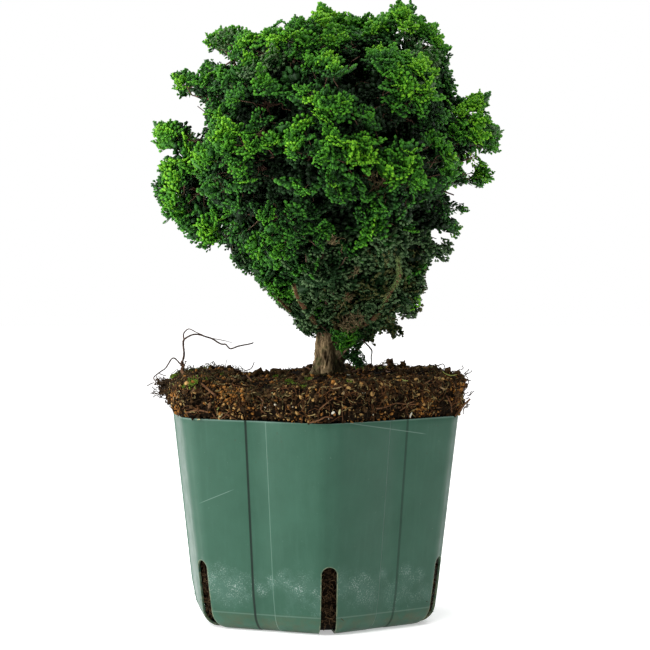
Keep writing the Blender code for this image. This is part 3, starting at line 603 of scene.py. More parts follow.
def pot_plastic():
    """Satin green plastic: streaks, lime stains low on the wall, a browner foot, a pale rim and scratches."""
    made, shader = new_material("pot_plastic", 0.42, 0.22)
    nodes = Nodes(made.node_tree)
    height = nodes.along(UP)
    colour, _ = nodes.mottle(60, (0.0186, 0.069, 0.0415), (0.0246, 0.0835, 0.052))
    streaks, _ = nodes.mottle(70, low=0.5, high=0.85, stretch=(5.0, 5.0, 0.3))
    colour = nodes.cover(colour, streaks, 0.5, (0.036, 0.1, 0.066))
    colour = lime_stains(nodes, colour, height)
    foot = nodes.ranged(height, 11 * MM, 7 * MM)
    # brown dirt in patches on the foot
    darkening = nodes.times(foot, nodes.patches(150, 0.42, 0.75))
    soiled = nodes.times(nodes.ranged(height, 60 * MM, 106 * MM), nodes.patches(330, 0.64, 0.72))
    for mask, strength, paint in (
        (foot, 0.12, (0.07, 0.15, 0.09)),
        (darkening, 0.6, (0.075, 0.062, 0.026)),
        (nodes.band(height, 9.3 * MM, 9.6 * MM, 0.3 * MM), 0.4, (0.12, 0.19, 0.15)),  # the line over the foot
        (nodes.patches(520, 0.68, 0.74), 0.4, (0.12, 0.17, 0.14)),  # pale specks
        (soiled, 0.35, (0.045, 0.035, 0.02)),
        (nodes.ranged(height, POT_HEIGHT - 0.9 * MM, POT_HEIGHT - 0.1 * MM), 0.6, (0.15, 0.24, 0.2)),  # the rim
    ):
        colour = nodes.cover(colour, mask, strength, paint)
    colour = wall_marks(nodes, colour)
    gloss, _ = nodes.mottle(90, (0.36, 0.36, 0.36), (0.52, 0.52, 0.52))
    feed(shader["Roughness"], gloss)
    _, grain = nodes.mottle(700)
    nodes.finish(shader, colour, grain, 0.15, 0.1 * MM)
    return made


def earthy(name, dark, light, scale, relief, roughness=0.9):
    """A rough mottled earth, grain, root or twig."""
    made, shader = new_material(name, roughness, 0.06)
    nodes = Nodes(made.node_tree)
    colour, height = nodes.mottle(scale, dark, light)
    nodes.finish(shader, colour, height, 0.6, relief)
    return made


def bark():
    """Grey-brown bark with short fissures and flakes, patches of moss, painted shade on its right side, redder on
    the young boughs.
    """
    made, shader = new_material("conifer_bark", 0.85, 0.1)
    nodes = Nodes(made.node_tree)
    height = nodes.along(UP)
    old, ridges = nodes.mottle(420, (0.045, 0.028, 0.014), (0.56, 0.4, 0.215), 0.34, 0.68, (1.0, 1.0, 0.3))
    flakes, edges = nodes.mottle(900, (0.35, 0.33, 0.3), (1, 1, 1), 0.35, 0.55, (1.0, 1.0, 0.45))
    colour = nodes.mix(0.8, old, flakes, "MULTIPLY")
    # painted shade: the bark darkens in patches towards its right and back side
    shaded_side = nodes.ranged(nodes.along((1.0, 0.35, 0.0)), TRUNK_X - 3 * MM, TRUNK_X + 1.5 * MM)
    shaded_side = nodes.times(shaded_side, nodes.patches(260, 0.3, 0.5))
    foot = nodes.ranged(height, SOIL_TOP + 8 * MM, SOIL_TOP + 1 * MM)
    foot = nodes.times(foot, nodes.patches(300, 0.4, 0.6))
    colour = nodes.cover(colour, shaded_side, 0.85, (0.05, 0.04, 0.02))
    colour = nodes.cover(colour, foot, 0.8, (0.015, 0.017, 0.008))
    young, _ = nodes.mottle(500, (0.035, 0.016, 0.008), (0.22, 0.11, 0.055), 0.35, 0.7)
    colour = nodes.mix(nodes.ranged(height, 148 * MM, 160 * MM), colour, young)
    colour = nodes.cover(colour, nodes.patches(190, 0.52, 0.66), 0.7, (0.06, 0.085, 0.025))
    nodes.finish(shader, colour, nodes.maths("ADD", ridges, edges), 1.0, 0.7 * MM)
    return made


def leaf_green(name, colour):
    """A plain foliage colour."""
    made, shader = new_material(name, 0.5, 0.16)
    feed(shader["Base Color"], colour)
    return made


# Meshes

def new_object(name, mesh):
    obj = bpy.data.objects.new(name, mesh)
    bpy.context.scene.collection.objects.link(obj)
    return obj


def dress(obj, finish, replaced=()):
    """Gives an object its finish and lets it ride on the plant's one body."""
    obj.data.materials.clear()
    obj.data.materials.append(finish)
    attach(obj, "root")
    if replaced:
        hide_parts(*replaced)


def piece(name, shape, finish, smooth=True, replaced=()):
    """A piece made from arrays of points and of equal-sided faces."""
    verts, faces = np.asarray(shape[0], dtype=np.float32), np.asarray(shape[1], dtype=np.int32)
    mesh = bpy.data.meshes.new(name)
    mesh.vertices.add(len(verts))
    mesh.vertices.foreach_set("co", verts.ravel())
    mesh.loops.add(faces.size)
    mesh.loops.foreach_set("vertex_index", faces.ravel())
    mesh.polygons.add(len(faces))
    mesh.polygons.foreach_set("loop_start", np.arange(0, faces.size, faces.shape[1], dtype=np.int32))
    mesh.update(calc_edges=True)
    if smooth:
        mesh.shade_smooth()
    dress(new_object(name, mesh), finish, replaced)


def object_from(bm, name):
    """A new object with the mesh that was built, which is then freed."""
    mesh = bpy.data.meshes.new(name)
    bm.to_mesh(mesh)
    bm.free()
    return new_object(name, mesh)


def unit(v):
    return v / np.maximum(np.linalg.norm(v, axis=-1, keepdims=True), 1e-9)


def across(ways, hint):
    """Directions square to ways, as near to hint as they can be."""
    return unit(hint - ways * (hint * ways).sum(-1, keepdims=True))


def repeated(faces, points, count):
    return (faces[None] + (np.arange(count) * points)[:, None, None]).reshape(-1, faces.shape[1])


def copies(shape, frames, places):
    """Copies of a shape, one for each 3 by 3 frame and place."""
    verts, faces = shape
    moved = np.einsum("ij,njk->nik", verts, frames) + places[:, None, :]
    return moved.reshape(-1, 3), repeated(faces, len(verts), len(places))


def stack(shapes):
    """Joins shapes, each of points and faces, into one."""
    faces, base = [], 0
    for v, f in shapes:
        faces.append(f + base)
        base += len(v)
    return np.concatenate([v for v, _ in shapes]), np.concatenate(faces)


def grid_faces(rows, columns):
    """Quads between the rows of a grid that closes round its columns."""
    return np.array([
        (
            i * columns + j, i * columns + (j + 1) % columns,
            (i + 1) * columns + (j + 1) % columns, (i + 1) * columns + j,
        )
        for i in range(rows - 1) for j in range(columns)
    ])


def rods(starts, ends, first, last, sides=3):
    """Open tapering prisms from starts to ends."""
    ways = unit(ends - starts)
    side = across(ways, np.where(np.abs(ways[:, 2:]) > 0.9, [[1.0, 0, 0]], [[0, 0, 1.0]]))
    other = np.cross(ways, side)
    a = np.arange(sides) * math.tau / sides
    ring = np.cos(a)[None, :, None] * side[:, None] + np.sin(a)[None, :, None] * other[:, None]
    first, last = np.broadcast_to(first, len(starts)), np.broadcast_to(last, len(starts))
    low = starts[:, None] + ring * first[:, None, None]
    high = ends[:, None] + ring * last[:, None, None]
    verts = np.concatenate((low, high), axis=1).reshape(-1, 3)
    quad = np.array([(i, (i + 1) % sides, sides + (i + 1) % sides, sides + i) for i in range(sides)])
    return verts, repeated(quad, 2 * sides, len(starts))


def wander(rng, starts, heading, steps, reach, turn, first, last, thinning=0.0, pull=0.0):
    """Crooked strands of rods, in mm: each step runs on by a random reach, then turns by a random amount."""
    shapes = []
    for step in range(steps):
        ends = starts + heading * (rng.uniform(*reach, (len(heading), 1)) * MM)
        shapes.append(rods(starts, ends, (first - thinning * step) * MM, (last - thinning * step) * MM))
        starts, heading = ends, unit(heading + rng.normal(0, turn, heading.shape) + pull)
    return shapes


def smooth_path(points, values, count):
    """A Catmull-Rom curve through the points, with the values that go with them, at count places."""
    p = np.array([[*q, v] for q, v in zip(points, values)], dtype=float)
    p = np.vstack((2 * p[0] - p[1], p, 2 * p[-1] - p[-2]))
    out = []
    for t in np.linspace(0, len(points) - 1 - 1e-9, count):
        i, u = int(t), t - int(t)
        a, b, c, d = p[i:i + 4]
        square, cube = 2 * a - 5 * b + 4 * c - d, 3 * b - a - 3 * c + d
        out.append(0.5 * (2 * b + (c - a) * u + square * u * u + cube * u ** 3))
    out = np.array(out)
    return out[:, :3], out[:, 3]


def relief_tube(points, radii, sides, rings, relief, seed, ridges=2.2, stretch=0.3):
    """A limb with lengthwise ridges and knobs: noise in its own bent space moves each point in or out."""
    path, sizes = smooth_path(points, radii, rings)
    ways = unit(np.gradient(path, axis=0))
    side = np.zeros_like(path)
    side[0] = across(ways[:1], np.array([[1.0, 0.2, 0.1]]))[0]
    for i in range(1, rings):
        side[i] = across(ways[i:i + 1], side[i - 1:i])[0]
    other = np.cross(ways, side)
    run = np.concatenate(([0], np.cumsum(np.linalg.norm(np.diff(path, axis=0), axis=1))))
    verts = np.zeros((rings, sides, 3))
    for j in range(sides):
        a = j * math.tau / sides
        out = math.cos(a) * side + math.sin(a) * other
        for i in range(rings):
            spot = Vector((math.cos(a) * ridges + seed, math.sin(a) * ridges, run[i] / sizes[i] * stretch))
            ridge = 1 - 2 * abs(noise.noise(spot * 1.3))
            fine = noise.noise(spot * Vector((3.1, 3.1, 2.2)))
            verts[i, j] = path[i] + out[i] * sizes[i] * (1 + relief * (ridge - 0.6) + 0.4 * relief * fine)
    return verts.reshape(-1, 3), grid_faces(rings, sides)


def unit_ball(level):
    bm = bmesh.new()
    bmesh.ops.create_icosphere(bm, subdivisions=level, radius=1.0)
    verts = np.array([v.co for v in bm.verts])
    faces = np.array([[v.index for v in f.verts] for f in bm.faces])
    bm.free()
    return verts, faces


def random_frames(rng, count):
    """Evenly random turns as 3 by 3 arrays."""
    a = unit(rng.normal(0, 1, (count, 3)))
    b = across(a, rng.normal(0, 1, (count, 3)))
    return np.stack((a, b, np.cross(a, b)), axis=1)


def noise_field(points, scale, shift=0.0):
    return np.array([noise.noise(Vector(p) * scale + Vector((shift, shift, shift))) for p in points])


def pixel_of(points):
    """Where points fall in the photograph, in pixels."""
    off = points - EYE
    ahead = off[:, 1] * math.cos(CAMERA_PITCH) - off[:, 2] * math.sin(CAMERA_PITCH)
    above = off[:, 1] * math.sin(CAMERA_PITCH) + off[:, 2] * math.cos(CAMERA_PITCH)
    return np.stack((PICTURE / 2 + FOCAL * off[:, 0] / ahead, PICTURE / 2 - FOCAL * above / ahead), axis=1)


def at_pixel(x, y, depth):
    """The place that shows at a pixel and lies at a depth in y."""
    ahead, down = math.cos(CAMERA_PITCH), math.sin(CAMERA_PITCH)
    right, up = (x - PICTURE / 2) / FOCAL, (PICTURE / 2 - y) / FOCAL
    way = np.array((right, ahead + up * down, up * ahead - down))
    return EYE + way * (depth + CAMERA_DISTANCE) / way[1]


def along_pixels(path, depths):
    """The places that show along a path of pixels, each at its depth."""
    return [at_pixel(x, y, depth) for (x, y), depth in zip(path, depths)]


# The pot

def hexagon(corner, rounding, steps, flute_depth=0.0):
    """A six-sided outline with rounded corners and, where it has a depth, a soft-edged flute down each side."""
    outline = []
    turn = math.tau / SIDES
    half = FLUTE_WIDTH / 2
    for side in range(SIDES):
        at = POT_TURN + side * turn
        hub = Vector((math.cos(at), math.sin(at))) * (corner - rounding / math.cos(turn / 2))
        for step in range(steps + 1):
            a = at + turn * (step / steps - 0.5)
            outline.append(hub + rounding * Vector((math.cos(a), math.sin(a))))
        if flute_depth:
            outward = Vector((math.cos(at + turn / 2), math.sin(at + turn / 2)))
            aside = Vector((-outward.y, outward.x))
            face = corner * math.cos(turn / 2)
            for edge in (-1, 1):
                for share in (-1.0, -0.5, 0.0, 0.5, 1.0):
                    sunk = 0.5 - 0.5 * math.sin(share * math.pi / 2) * edge
                    inset = face - flute_depth * sunk
                    outline.append(outward * inset + aside * (edge * half + share * FLUTE_EDGE))
                if edge < 0:
                    outline.append(outward * (face - flute_depth))
    return outline


def pot_corner(height):
    """How far out the pot's sharp corner would be at a height."""
    if height >= WALL_FOOT_HEIGHT:
        share = (height - WALL_FOOT_HEIGHT) / (POT_HEIGHT - WALL_FOOT_HEIGHT)
        return WALL_FOOT_CORNER + share * (RIM_CORNER - WALL_FOOT_CORNER)
    rise = 1 - height / WALL_FOOT_HEIGHT
    return FOOT_CORNER + (WALL_FOOT_CORNER - FOOT_CORNER) * math.sqrt(max(0.0, 1 - rise * rise))


def slit_cutter(index):
    """A round-topped block that cuts one slit."""
    at = POT_TURN + index * math.tau / SIDES
    inner, outer = FOOT_CORNER - SLIT_UNDER_FOOT, RIM_CORNER + 10 * MM
    bm = bmesh.new()
    bmesh.ops.create_cone(
        bm, cap_ends=True, segments=32, radius1=SLIT_WIDTH / 2, radius2=SLIT_WIDTH / 2, depth=outer - inner,
        matrix=Matrix.Rotation(math.pi / 2, 4, "Y"),
    )
    for vert in bm.verts:
        if vert.co.z < 0.1 * MM:
            vert.co.z -= SLIT_HEIGHT + 10 * MM
    bmesh.ops.transform(bm, verts=bm.verts, matrix=(
        Matrix.Rotation(at, 4, "Z") @ Matrix.Translation(((inner + outer) / 2, 0, SLIT_HEIGHT - SLIT_WIDTH / 2))))
    return object_from(bm, f"slit_cutter_{index}")


def wall_point(p, z):
    """A point of the pot's outline at a height, bowed out with its panel and waved and lifted near the rim."""
    azimuth = math.atan2(p.y, p.x)
    wave = noise.noise(Vector((p.x * 14, p.y * 14, z * 9)))
    off = (azimuth - POT_TURN) % (math.tau / SIDES) / (math.tau / SIDES)
    bow = PANEL_BOW * (1 - (2 * off - 1) ** 2) * min(1.0, z / (20 * MM)) / p.length
    spread = 1 + 0.0035 * wave * (z / POT_HEIGHT) ** 3 + bow
    rise = 0.5 * noise.noise(Vector((p.x * 25, p.y * 25, 7.0)))
    for middle, wide, high in RIM_LIFTS:
        aside = (math.degrees(azimuth) - middle + 180) % 360 - 180
        rise += high * math.exp(-(aside / wide) ** 2)
    rise *= MM * max(0.0, (z - 0.85 * POT_HEIGHT) / (0.15 * POT_HEIGHT))
    return p.x * spread, p.y * spread, z + rise


def make_pot():
    """The pot again with round corners, soft flutes, a slightly uneven rim and eased slit edges."""
    heights = [WALL_FOOT_HEIGHT * (1 - math.cos(math.pi / 2 * i / 8)) for i in range(9)]
    heights += list(np.linspace(WALL_FOOT_HEIGHT, POT_HEIGHT, 26)[1:])
    bm = bmesh.new()
    loops = []
    for z in heights:
        outline = hexagon(pot_corner(z), CORNER_ROUNDING, 10, FLUTE_DEPTH)
        loops.append([bm.verts.new(wall_point(p, z)) for p in outline])
    for low, high in zip(loops, loops[1:]):
        for i in range(len(low)):
            j = (i + 1) % len(low)
            bm.faces.new((low[i], low[j], high[j], high[i]))
    bm.faces.new(reversed(loops[0]))
    obj = object_from(bm, "slit_pot")
    wall = obj.modifiers.new("wall", "SOLIDIFY")
    wall.thickness = WALL
    wall.offset = -1
    cutters = [slit_cutter(index) for index in range(SIDES)]
    for cutter in cutters:
        slit = obj.modifiers.new(cutter.name, "BOOLEAN")
        slit.operation = "DIFFERENCE"
        slit.object = cutter
    eased = obj.modifiers.new("eased", "BEVEL")
    eased.width = 0.3 * MM
    eased.segments = 2
    eased.limit_method = "ANGLE"
    eased.angle_limit = math.radians(55)
    bpy.context.view_layer.update()
    made = bpy.data.meshes.new_from_object(obj.evaluated_get(bpy.context.evaluated_depsgraph_get()))
    obj.modifiers.clear()
    obj.data = made
    for cutter in cutters:
        bpy.data.objects.remove(cutter)
    made.shade_smooth()
    made.set_sharp_from_angle(angle=math.radians(35))
    dress(obj, pot_plastic(), ("pot",))


# The root ball

def make_crust(rows, columns):
    """Points of the crust by row and column, roughened in clods and crumbs, and their directions."""
    steps = np.linspace(0, 1, len(CRUST))
    sizes, heights = (np.interp(np.linspace(0, 1, rows), steps, [c[k] for c in CRUST]) * MM for k in (0, 1))
    turn = math.tau / SIDES
    angles = np.arange(columns) * math.tau / columns
    local = (angles - POT_TURN + turn / 2) % turn - turn / 2
    sharp = math.cos(turn / 2) / np.cos(turn / 2 - np.abs(local))
    reach = np.minimum(sharp, 0.965 * (1 - 0.05 * (np.abs(local) / (turn / 2)) ** 2))
    verts = np.zeros((rows, columns, 3))
    verts[..., 0] = sizes[:, None] * reach * np.cos(angles)
    verts[..., 1] = sizes[:, None] * reach * np.sin(angles)
    verts[..., 2] = heights[:, None]
    left, right = (np.interp(heights / MM, [r[0] for r in LEAN], [r[k] for r in LEAN]) * MM for k in (1, 2))
    aside = verts[..., 0] / (86 * MM)
    verts[..., 0] += np.where(aside < 0, aside * left[:, None], aside * right[:, None]) * np.abs(aside)
    ring = np.roll(verts, -1, 1) - np.roll(verts, 1, 1)
    normals = unit(np.cross(ring, np.gradient(verts, axis=0)))
    for i in range(rows):
        for j in range(columns):
            spot = Vector(verts[i, j])
            dips = sum(deep * math.exp(-((spot.x / MM - middle) / wide) ** 2) for middle, wide, deep in DIPS)
            verts[i, j, 2] -= dips * MM * min(1.0, max(0.0, spot.z / MM - 122) / 4)
            rough = 2.6 * noise.noise(spot * 42) + 2.0 * noise.noise(spot * 105) + 1.0 * noise.noise(spot * 290)
            free = min(1.0, max(0.0, (verts[i, j, 2] - 109 * MM) / (4 * MM)))
            open_soil = (np.hypot(verts[i, j, 0] - TRUNK_X, verts[i, j, 1]) - 9 * MM) / (14 * MM)
            verts[i, j] += normals[i, j] * rough * MM * free * min(1.0, max(0.12, open_soil))
    return verts, normals


class Soil:
    """The surface of the crust, for what lies on it."""

    def __init__(self, verts, normals):
        self.points, self.out = verts.reshape(-1, 3), normals.reshape(-1, 3)
        self.seen = pixel_of(self.points)
        self.tree = kdtree.KDTree(len(self.points))
        for index, point in enumerate(self.points):
            self.tree.insert(point, index)
        self.tree.balance()
        self.hidden = ((EYE - self.points) * self.out).sum(-1) < 0
        open_soil = np.hypot(self.points[:, 0] - TRUNK_X, self.points[:, 1]) > 11 * MM
        high = self.points[:, 2] > 109.6 * MM
        self.weight = np.where(high & open_soil, np.hypot(*self.points[:, :2].T), 0.0)

    def spots(self, rng, count, cluster=0.0, shift=0.0, top=1.0):
        """Random places on the open soil, thicker where the clusters are and on top, and their directions."""
        weight = self.weight * np.where(self.points[:, 2] > 126 * MM, top, 1.0)
        if cluster:
            weight = weight * np.clip(0.35 + cluster * noise_field(self.points, 62, shift), 0.03, None)
        chosen = rng.choice(len(weight), count, p=weight / weight.sum())
        return self.points[chosen] + rng.normal(0, 0.4 * MM, (count, 3)), self.out[chosen]

    def nearest(self, points):
        """The nearest places on the soil, and their directions."""
        found = [self.tree.find(p)[1] for p in points]
        return self.points[found], self.out[found]

    def under(self, x, y):
        """The place on the soil that shows at a pixel, and its direction."""
        off = np.hypot(self.seen[:, 0] - x, self.seen[:, 1] - y) + 99.0 * self.hidden
        nearest = int(np.argmin(off))
        return self.points[nearest], self.out[nearest]


def scatter_grit(soil, rng):
    """Angular grains in several colours."""
    ball, ball_faces = unit_ball(1)
    for order, (name, count, small, large, dark, light, cluster, top) in enumerate(GRIT):
        places, ways = soil.spots(rng, count, cluster, order * 3.0, top)
        size = (small + (large - small) * rng.random(count) ** 3) * MM
        stretch = size[:, None] * rng.uniform(0.5, 1.3, (count, 3))
        frames = random_frames(rng, count) * stretch[:, :, None]
        places = places + ways * (size * 0.45)[:, None]
        grains = []
        for shape in range(8):
            lumpy = ball * rng.uniform(0.45, 1.3, (len(ball), 1))
            which = np.arange(count) % 8 == shape
            grains.append(copies((lumpy, ball_faces), frames[which], places[which]))
        piece(name, stack(grains), earthy(name, dark, light, 650, 0.25 * MM), smooth=order < 2)


def scatter_clods(soil, rng):
    """Lumps of earth: those that the photograph shows, and smaller ones all round."""
    ball, ball_faces = unit_ball(2)
    places, ways = soil.spots(rng, 300, top=1.6)
    standing = []
    for x, y, radius in CLODS:
        place, way = soil.under(x, y)
        standing.append((at_pixel(x, y, place[1]), way, radius))
    standing += [
        (place, way, rng.uniform(0.8, 2.2 if place[1] > 0 else 1.4))
        for place, way in zip(places, ways) if place[2] > 114 * MM
    ]
    clods = []
    for place, way, radius in standing:
        turn = random_frames(rng, 1)[0] * radius * MM * rng.uniform(0.8, 1.2, (3, 1))
        lumps = np.array([1 + 1.1 * noise.noise(Vector(p) * 2.1 + Vector(place) * 900) for p in ball])
        clods.append((ball * lumps[:, None] @ turn + place + way * radius * 0.5 * MM, ball_faces))
    finish = earthy("clod_earth", (0.01, 0.006, 0.003), (0.09, 0.05, 0.02), 700, 0.5 * MM)
    piece("clods", stack(clods), finish)


def scatter_fibres(soil, rng):
    """Roots and fibres that wander over the soil, a little above it."""
    for name, count, longest, radius, dark, light, stray, upper in FIBRES:
        places, ways = soil.spots(rng, count, top=1 + upper)
        keep = (places[:, 2] > 111 * MM) & ((upper < 1) | (places[:, 2] > 119 * MM))
        keep &= (upper < 1) | (places[:, 0] < -15 * MM) | (rng.random(count) < 0.35)
        places, ways = places[keep], ways[keep]
        count = len(places)
        heading = across(ways, rng.normal(0, 1, (count, 3)))
        lift = rng.uniform(0.3, stray + 0.3, (count, 1)) * MM
        starts = places + ways * lift
        steps = 6 if longest > 5 else 2
        reach = longest * MM * rng.uniform(0.35, 1.2, count) / steps
        strands = []
        for step in range(steps):
            heading = unit(heading + rng.normal(0, 0.45, (count, 3)))
            ends = starts + heading * reach[:, None]
            ground, ways = soil.nearest(ends)
            ends = ends * 0.3 + (ground + ways * lift * rng.uniform(0.4, 1.6, (count, 1))) * 0.7
            heading = across(ways, ends - starts)
            thick, thin = radius * (1 - 0.08 * step) * MM, radius * (0.92 - 0.08 * step) * MM
            strands.append(rods(starts, ends, thick, thin))
            starts = ends
        piece(name, stack(strands), earthy(name, dark, light, 600, 0.1 * MM))


def grow_wisps(soil, rng):
    """Little tangles of dark fibre that stick out from the edge of the soil at a few pixels."""
    wisps = []
    for x, y, count in WISPS:
        middle = at_pixel(x, y, 0.0)
        foot, _ = soil.nearest(middle[None])
        share = rng.uniform(0, 0.8, (count, 1))
        starts = foot * (1 - share) + middle * share + rng.normal(0, 1.3 * MM, (count, 3))
        heading = unit((middle - foot) + rng.normal(0, 1.5 * MM, (count, 3)))
        wisps += wander(rng, starts, heading, 4, (0.8, 1.6), 0.8, 0.28, 0.24)
    finish = earthy("wisp_brown", (0.012, 0.008, 0.005), (0.07, 0.045, 0.024), 600, 0.1 * MM)
    piece("edge_wisps", stack(wisps), finish)


def grow_moss(soil, rng):
    """Tufts of tiny green blades where the photograph shows them, and some round the back."""
    beds = [(*soil.under(x, y), wide, blades) for x, y, wide, blades in MOSS]
    places, ways = soil.spots(rng, 14, top=3.0)
    beds += [(place, way, 3.0, 50) for place, way in zip(places, ways) if place[1] > 0]
    starts, ends = [], []
    for place, way, wide, blades in beds:
        off = rng.normal(0, wide / 2, (blades, 3)) * MM
        off -= way * (off @ way)[:, None]
        lean = unit(way * 0.8 + UP * 0.5 + rng.normal(0, 0.45, (blades, 3)))
        root = place + off + way * 0.3 * MM
        starts.append(root)
        ends.append(root + lean * (rng.uniform(0.8, 2.0, blades) * MM)[:, None])
    blades = rods(np.concatenate(starts), np.concatenate(ends), 0.28 * MM, 0.1 * MM)
    piece("moss", blades, earthy("moss_green", (0.05, 0.1, 0.012), (0.24, 0.38, 0.045), 300, 0.1 * MM))


def lay_roots(soil):
    """Roots that follow the soil under a line of pixels, and roots that stand clear of it."""
    tubes = []
    for order, (path, radius) in enumerate(ROOTS):
        points = [place + way * (radius * 0.9 + 0.9) * MM for place, way in (soil.under(x, y) for x, y in path)]
        radii = np.linspace(radius, radius * 0.7, len(points)) * MM
        tubes.append(relief_tube(points, radii, 7, 8 * len(points), 0.16, 60.0 + order, stretch=0.8))
    for path, radius in ARCHES:
        under = [soil.under(x, y)[0][1] - 3 * MM for x, y in path]
        depths = np.minimum(under, np.linspace(under[0] - 4 * MM, under[-1], len(path)))
        radii = np.full(len(path), radius * MM)
        tubes.append(relief_tube(along_pixels(path, depths), radii, 7, 8 * len(path), 0.25, 90.0, stretch=0.8))
    finish = earthy("root_bark", (0.04, 0.018, 0.009), (0.17, 0.085, 0.04), 420, 0.2 * MM)
    piece("surface_roots", stack(tubes), finish)


def strew_chips(soil, rng):
    """Curled husks and chips that lie on the soil: those that the photograph shows, and others all round."""
    listed = []
    for x, y, length, width, turn, name in CHIPS:
        place, way = soil.under(x, y)
        listed.append((place + way * 1.2 * MM, way, length, width, math.radians(turn), name))
    names = list(CHIP_COLOURS)
    for place, way in zip(*soil.spots(rng, 150, top=0.7)):
        name = names[rng.choice(6, p=(0.1, 0.06, 0.04, 0.04, 0.56, 0.2))]
        length, width, turn = rng.uniform(1.5, 4.5), rng.uniform(0.6, 1.6), rng.uniform(0, math.tau)
        listed.append((place, way, length, width, turn, name))
    chips = {name: [] for name in names}
    for place, way, length, width, turn, name in listed:
        level = across(way[None], np.array([[1.0, 0.0, 0.0]]))[0]
        ahead = level * math.cos(turn) + np.cross(way, level) * math.sin(turn)
        aside = np.cross(way, ahead)
        curl = rng.uniform(0.1, 0.35)
        rows = []
        for share in np.linspace(-1, 1, 6):
            edge = aside * (width / 2 * math.sqrt(max(0.02, 1 - share * share)) * rng.uniform(0.85, 1.1)) * MM
            rise = 0.9 + curl * length * share * share * 0.5
            middle = place + (ahead * share * length / 2 + way * rise) * MM
            rows += [middle + edge, middle + way * 0.35 * MM, middle - edge, middle - way * 0.15 * MM]
        chips[name].append((np.array(rows), grid_faces(6, 4)))
    for name, shapes in chips.items():
        finish = earthy("chip_" + name, *CHIP_COLOURS[name], 500, 0.15 * MM)
        piece("chips_" + name, stack(shapes), finish)


def fill_slits(rng):
    """Crumbs and fibres on the soil that shows through the slits."""
    turn = np.repeat(POT_TURN + np.arange(SIDES) * math.tau / SIDES, 90)
    count = (len(turn), 1)
    out = np.stack((np.cos(turn), np.sin(turn), 0 * turn), axis=1)
    aside = np.cross(UP, out)

    def places():
        height = rng.uniform(6, 35, len(turn)) * MM
        inner = np.array([pot_corner(z) for z in height]) - rng.uniform(4.2, 4.8, len(turn)) * MM
        return out * inner[:, None] + aside * (rng.uniform(-4.5, 4.5, count) * MM) + UP * height[:, None]

    spots = places()
    frames = random_frames(rng, len(turn)) * (rng.uniform(0.4, 1.3, (len(turn), 3)) * 0.8 * MM)[:, :, None]
    finish = earthy("slit_crumbs", (0.004, 0.0025, 0.0015), (0.035, 0.02, 0.009), 500, 0.2 * MM)
    piece("slit_crumbs", copies(unit_ball(1), frames, spots), finish)
    spots = places()
    heading = unit(aside * rng.normal(0, 1, count) + UP * rng.normal(0, 1, count) + out * 0.3)
    fibres = wander(rng, spots, heading, 3, (0.6, 1.8), 0.5, 0.18, 0.18, pull=-out * 0.3)
    finish = earthy("slit_fibres", (0.012, 0.007, 0.004), (0.1, 0.062, 0.03), 500, 0.2 * MM)
    piece("slit_fibres", stack(fibres), finish)


def make_soil():
    """The dark bed inside the pot and its crust, then grit, roots, fibres, chips and moss."""
    rows, columns = 84, 300
    verts, normals = make_crust(rows, columns)
    bed = earthy("soil_bed", (0.0015, 0.001, 0.0006), (0.01, 0.006, 0.003), 420, 0.8 * MM, 1.0)
    piece("soil_crust", (verts.reshape(-1, 3), grid_faces(rows, columns)), bed, replaced=("root_ball",))
    floor = WALL + GAP
    foot_levels = np.linspace(floor, WALL_FOOT_HEIGHT, 5)
    levels = [*foot_levels, *np.linspace(WALL_FOOT_HEIGHT, POT_HEIGHT - 3 * MM, 30)[1:]]
    block = []
    for z in levels:
        for p in hexagon(pot_corner(max(z - floor, 0)) - 2.4 * MM, CORNER_ROUNDING, 20):
            inward = 1 - 0.035 * max(0.0, noise.noise(Vector((p.x, p.y, z)) * 180))
            block.append((p.x * inward, p.y * inward, z))
    piece("soil_in_pot", (block, grid_faces(len(levels), len(block) // len(levels))), bed)
    soil = Soil(verts, normals)
    rng = np.random.default_rng(11)
    scatter_grit(soil, rng)
    scatter_clods(soil, rng)
    scatter_fibres(soil, rng)
    grow_wisps(soil, rng)
    grow_moss(soil, rng)
    lay_roots(soil)
    strew_chips(soil, rng)
    fill_slits(rng)


# The trunk and boughs

def trunk_point(height):
    share = (height - SOIL_TOP) / (TRUNK_TIP - SOIL_TOP)
    sway = TRUNK_SWAY * math.sin(share * math.tau) * min(1.0, share * 4)
    return np.array((TRUNK_X + sway, -0.6 * sway, height))


def trunk_radius(height):
    share = (height - SOIL_TOP) / (TRUNK_TIP - SOIL_TOP)
    return float(np.interp(share, [s for s, _ in TRUNK_SIZES], [r for _, r in TRUNK_SIZES]))


def trunk_limb():
    foot = SOIL_TOP + GAP
    heights = [foot + (TRUNK_TIP - foot) * (i / 11) ** 1.5 for i in range(12)]
    return Limb([trunk_point(z) for z in heights], [trunk_radius(z) for z in heights])


def mass_at(pad, swell=1.0):
    """The mass that bulges where a pad says, swelled inward toward the middle of the crown."""
    a = math.radians(pad.azimuth)
    bulge = np.array((TRUNK_X / MM + pad.distance * math.cos(a), pad.distance * math.sin(a), pad.height)) * MM
    radius = pad.radius * MM
    return Mass(bulge + unit(CROWN_MIDDLE - bulge) * radius * (swell - 1), radius * swell)


def bough_limb(bough):
    """A bough that rises from the trunk and bends out toward its masses."""
    foot = trunk_point(bough.foot * MM)
    run = (np.mean([mass_at(pad, SWELL).centre for pad in bough.pads], axis=0) - foot) * BOUGH_SHARE
    bend = foot + run * (0.55, 0.55, 0.3)
    t = np.linspace(0, 1, 5)[:, None]
    points = (1 - t) ** 2 * foot + 2 * t * (1 - t) * bend + t * t * (foot + run)
    thick = min(BOUGH_FOOT_RADIUS, 0.75 * trunk_radius(bough.foot * MM))
    return Limb(list(points), list(np.linspace(thick, BOUGH_TIP_RADIUS, 5)))


